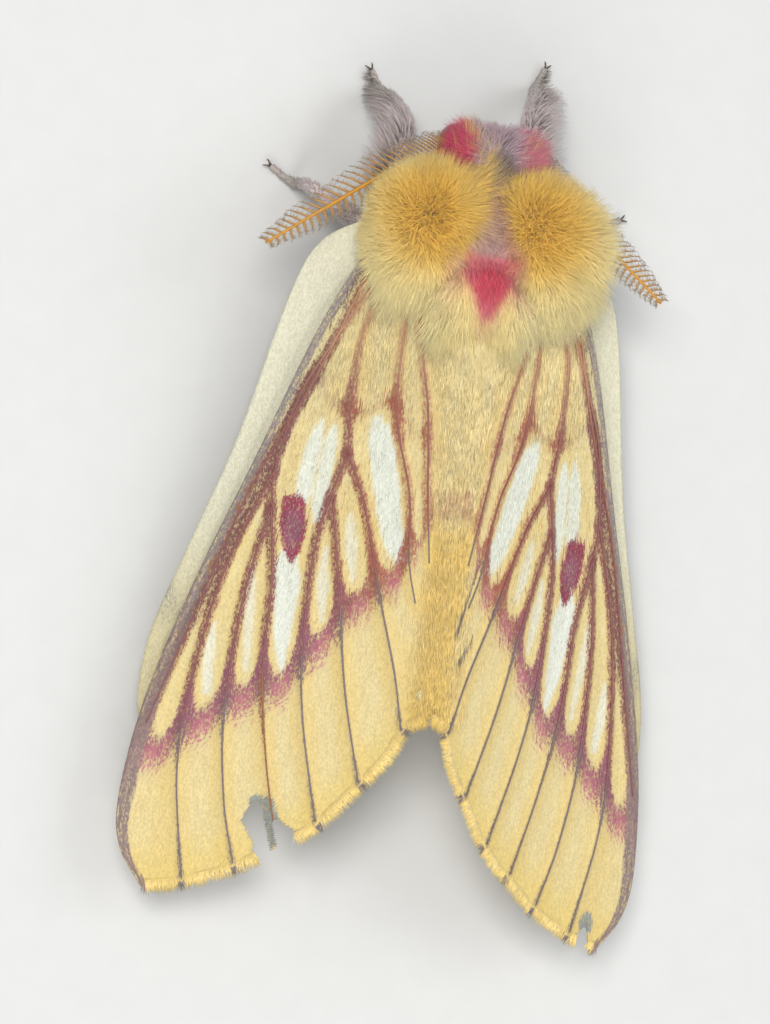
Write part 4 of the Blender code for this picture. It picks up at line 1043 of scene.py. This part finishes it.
under = (~on_leg & (y > 10.4) & (y < 20.6) & (z <= 6.8)).astype(float)
tail = (~on_leg & (y <= 10.4)).astype(float)
for name, area, count, seed, length, centre, run, slot in (
        ("belly_hair", under, 9000, 43, 1.3, THORAX_CENTRE, 11.0, "coat_gold"),
        ("abdomen_hair", tail, 12000, 44, 0.95, np.array((0.0, 1.0, 3.0)), 21.0, "coat_yellow")):
    roots, chosen, draw = scatter(area, count, seed)
    normal = normals[chosen]
    starts = unit(normal * 0.7 + (0, -0.6, 0) + 0.15 * draw.normal(0, 1, normal.shape))
    ends = unit(clumped(roots, normal * 0.15 + (0, -1.0, -0.05), draw, 12, 0.4) + 0.12 * draw.normal(0, 1, normal.shape))
    colours = coat_colours(roots)
    # The roots are painted much darker than the tips, as painted shade deep in the short coat.
    grow(name, roots, starts, ends, length * draw.uniform(0.7, 1.1, count), draw.uniform(0.05, 0.085, count),
         colours * 0.6, colours * draw.uniform(0.9, 1.2, count)[:, None], around(roots, centre, run), short_hair)

# Wing hair: fine scales stretched to hair over the wings' base and along their inner edge, and a
# short ragged fringe on the outer edge. It lies flat toward the rear.
wing_hair = hair_finish("wing_hair", 0.6)
WING_HAIRS = 8200
FRINGE_HAIRS = 1800


def scale_colours(markings, plan, side, draw):
    """The colours of single scales: the marking's or the ground's, by chance and by its share."""
    ground, mark, share = markings(plan, side)
    return paint_over(ground, mark, fade(share + 0.5 * draw.random(len(plan)) - 0.25, 0.25, 0.7))


for side, word in ((-1, "left"), (1, "right")):
    draw = np.random.default_rng(60 + side)
    plan = np.stack((draw.uniform(-0.7, 11.0, 60000), draw.uniform(-14.0, 14.0, 60000)), axis=1)
    costa = smooth_path(FOREWING_COSTA, 60)
    reach = np.interp(plan[:, 1], costa[:, 1], costa[:, 0])
    hold = np.interp(plan[:, 1], (-14, -9, -8.5), (3.6, 3.2, -1.0))
    from_seam = plan[:, 0] - seam_edge(side, plan[:, 1])
    odds = fade(plan[:, 1], -3.0, -9.0) + fade(from_seam, 2.4, 0.6) + 0.10 * fade(plan[:, 1], 12, 2)
    odds *= (plan[:, 0] < reach - 1.2) & (plan[:, 0] > hold) & (from_seam > 0.05)
    chosen = draw.choice(len(plan), WING_HAIRS, p=odds / odds.sum())
    plan = plan[chosen] + draw.normal(0, 0.02, (WING_HAIRS, 2))
    length = draw.uniform(0.6, 1.2, WING_HAIRS) * (1 + 0.6 * fade(plan[:, 1], -5, -10))
    roots = on_roof(side, plan, 0.02) - PLACE
    drift = np.stack((0.10 * plan[:, 0] / 6 + draw.normal(0, 0.12, WING_HAIRS), np.ones(WING_HAIRS)), axis=1)
    tips = on_roof(side, plan + drift * length[:, None], 0.14) - PLACE
    lie = unit(tips - roots)
    colours = scale_colours(forewing_markings, plan + 0.5 * drift * length[:, None], side, draw)
    spots = 0.05 + 0.9 * np.clip((plan + (1, 16)) / (13, 32), 0, 1)
    # The tips are painted up to a fifth lighter than the scales' colour, as painted light against the shade among the
    # hairs.
    grow(f"forewing_{word}_hair", roots, unit(lie + (0, 0, 0.10)), unit(lie - (0, 0, 0.05)), length,
         draw.uniform(0.035, 0.06, WING_HAIRS), colours,
         colours * draw.uniform(1.0, 1.2, WING_HAIRS)[:, None], spots, wing_hair, 0.35)
    edges = []
    for costa_line, rear_line, lift in ((FOREWING_COSTA, FOREWING_REAR, 0.0), (HINDWING_COSTA, HINDWING_REAR, HINDWING_LIFT)):
        start = 5 if lift == 0 else 4
        edges.append((smooth_path((*rear_line[start:],), 200), lift))
    for number, (edge, lift) in enumerate(edges):
        place = draw.uniform(0, len(edge) - 1.001, FRINGE_HAIRS)
        i = place.astype(int)
        plan = edge[i] + (edge[i + 1] - edge[i]) * (place - i)[:, None]
        run = unit(edge[i + 1] - edge[i])
        outward = np.stack((-run[:, 1], run[:, 0]), axis=1)
        keep = np.ones(len(plan), bool)
        if lift == 0:
            for hole in HOLES[side]:
                keep &= ~inside(plan - 0.3 * outward, hole)
        plan, outward = plan[keep] - 0.36 * outward[keep], outward[keep]
        count = len(plan)
        length = draw.uniform(0.45, 0.85, count)
        way = outward + draw.normal(0, 0.2, (count, 2))
        roots = on_roof(side, plan, lift + 0.05) - PLACE
        tips = on_roof(side, plan + way * length[:, None], lift + 0.06 + draw.normal(0, 0.04, count)) - PLACE
        lie = unit(tips - roots)
        paint = forewing_markings if lift == 0 else hindwing_markings
        colours = scale_colours(paint, plan, side, draw)
        spots = 0.05 + 0.9 * np.clip((plan + (0, 18)) / (20, 46), 0, 1)
        kind = "forewing" if lift == 0 else "hindwing"
        grow(f"{kind}_{word}_fringe", roots, lie, unit(lie - (0, 0, 0.1)), length + 0.12,
             draw.uniform(0.06, 0.12, count), colours, colours * draw.uniform(0.85, 1.15, count)[:, None], spots,
             wing_hair, 0.3)

# Antennae: a tapering golden shaft with a comb of fine rays on each side, and hairs along the
# rays. Each springs from the head between the eyes and sweeps back over the wing's root.
ANTENNAE = {
    "left": (-1, ((-0.6, 22.0, 7.2), (-1.3, 21.9, 7.4), (-2.8, 21.2, 7.7), (-5.7, 19.6, 8.1), (-9.2, 17.0, 7.8),
                  (-12.5, 14.5, 7.3))),
    "right": (1, ((2.2, 22.0, 7.2), (2.7, 21.8, 7.3), (4.1, 20.8, 7.4), (6.4, 18.7, 7.6), (9.3, 16.4, 7.7),
                  (12.2, 14.2, 7.4))),
}
RAY_PAIRS = 40
RAY_FRONT = 1.9
RAY_REAR = 1.3
CILIA_A_RAY = 30
SHAFT_GOLD = tone(184, 130, 36)
RAY_TAN = tone(178, 134, 76)
CILIA_GREY = tone(150, 132, 108)
antenna_finish, shader, wire = material("antenna_shaft", SHAFT_GOLD, 0.4, Coat_Weight=0.15)
place = wire.node("TexCoord", out=3)
joints = wire.node("TexNoise", None, {"Vector": place, "Scale": 3500.0, "Detail": 2.0})
connect((0.7 + 0.6 * joints).shaded((*SHAFT_GOLD, 1.0)), shader, "Base Color")
connect(wire.node("Bump", None, {"Strength": 0.4, "Distance": 0.00003, "Height": joints}), shader, "Normal")
ray_finish = hair_finish("antenna_rays", 0.5)


for word, (side, joints) in ANTENNAE.items():
    draw = np.random.default_rng(80 + side)
    path = smooth_path(joints, 40)
    shape = bmesh.new()
    tube(shape, path + PLACE, np.linspace(0.22, 0.08, len(path)), 8)
    shaft = piece(f"antenna_{word}_shaft", shape, antenna_finish)
    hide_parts(f"antenna_{word}")
    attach(shaft, "root")
    steps = unit(np.gradient(path, axis=0))
    t = np.repeat(np.linspace(0.13, 0.985, RAY_PAIRS), 2)
    way = np.tile((1.0, -1.0), RAY_PAIRS)
    place = t * (len(path) - 1)
    i = np.minimum(place.astype(int), len(path) - 2)
    roots = path[i] + (path[i + 1] - path[i]) * (place - i)[:, None]
    run = steps[i]
    beside = unit(np.cross(run, (0, 0, 1.0))) * way[:, None] * side
    rear = (way > 0)[:, None]
    full = np.where(way > 0, RAY_REAR, RAY_FRONT)
    lengths = full * np.interp(t, (0.1, 0.3, 0.6, 0.85, 1.0), (0.6, 0.95, 1.0, 0.75, 0.3)) * draw.uniform(0.95, 1.05, len(t))
    starts = unit(np.where(rear, beside, 0.8 * beside + 0.5 * run) - (0, 0, 0.06))
    ends = unit(np.where(rear, 0.9 * beside + 0.5 * run, 0.7 * beside + 0.8 * run) - (0, 0, 0.15))
    tan = np.tile(RAY_TAN, (len(t), 1))
    spots = np.stack((0.1 + 0.8 * t, 0.5 + 0.3 * way), axis=1)
    # Each ray is painted a little paler at its base than at its tip, as a painted glint.
    grow(f"antenna_{word}_rays", roots, starts, ends, lengths, np.full(len(t), 0.2), tan, tan * 0.85, spots,
         ray_finish, 0.9)
    each = np.repeat(np.arange(len(t)), CILIA_A_RAY)
    along = np.tile(np.linspace(0.1, 0.95, CILIA_A_RAY), len(t))[:, None]
    feet = roots[each] + lengths[each, None] * (starts[each] * along + (ends - starts)[each] * along ** 2 / 2)
    sign = draw.choice((-1.0, 1.0), len(each))[:, None]
    lie = unit(run[each] * sign + 0.5 * starts[each] + draw.normal(0, 0.2, (len(each), 3)))
    haze = np.tile(CILIA_GREY, (len(each), 1))
    grow(f"antenna_{word}_cilia", feet, lie, lie, draw.uniform(0.2, 0.3, len(each)), np.full(len(each), 0.04),
         haze, haze, spots[each] + 0.02 * (along - 0.5), ray_finish, 1.0)

# Eyes: large, round and nearly black, set in the sides of the head. Each is a dome of very many
# small facets with a hard gloss.
eye_finish, shader, wire = material("eye_gloss", (0.02, 0.014, 0.012), 0.12, Coat_Weight=0.6)
place = wire.node("TexCoord", out=3)
facets = wire.node("TexVoronoi", None, {"Vector": place, "Scale": 14000.0})
sheen = wire.node("TexNoise", None, {"Vector": place, "Scale": 1200.0})
connect(wire.node("Bump", None, {"Strength": 0.5, "Distance": 0.00002, "Height": 1 - facets}), shader, "Normal")
# The eye's colour is painted a little lighter in soft patches, as a painted sheen.
connect(sheen.mixed((0.012, 0.008, 0.008, 1.0), (0.05, 0.03, 0.024, 1.0)), shader, "Base Color")
for side, word in ((-1, "left"), (1, "right")):
    shape = bmesh.new()
    place = Matrix.Translation(Vector(HEAD_CENTRE + (side * 2.1, 0.2, 0.1) + PLACE)) @ Matrix.Diagonal((1.05, 1.14, 1.14, 1.0))
    bmesh.ops.create_uvsphere(shape, u_segments=40, v_segments=28, radius=1.0, matrix=place)
    eye = piece(f"eye_{word}_dome", shape, eye_finish)
    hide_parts(f"eye_{word}")
    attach(eye, "root")

# Claws: each foot ends in two small dark hooks of hard chitin, spread a little and bent down.
claw_finish, shader, wire = material("claw_chitin", (0.03, 0.02, 0.016), 0.25, Coat_Weight=0.3)
place = wire.node("TexCoord", out=3)
wear = wire.node("TexNoise", None, {"Vector": place, "Scale": 4000.0})
connect(wear.mixed((0.02, 0.014, 0.012, 1.0), (0.10, 0.06, 0.04, 1.0)), shader, "Base Color")
for name, path in LEG_PATHS.items():
    run = unit(path[-1] - path[-2])
    beside = unit(np.cross(run, (0, 0, 1.0)))
    shape = bmesh.new()
    for way in (-1, 1):
        hook = smooth_path((path[-1] - run * 0.1, path[-1] + run * 0.12 + beside * 0.1 * way + (0, 0, 0.08),
                            path[-1] + run * 0.3 + beside * 0.2 * way + (0, 0, 0.01),
                            path[-1] + run * 0.4 + beside * 0.23 * way - (0, 0, 0.15)), 9)
        tube(shape, hook + PLACE, np.linspace(0.08, 0.015, 9), 8)
    claws = piece(f"claws_{name}", shape, claw_finish)
    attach(claws, "root")
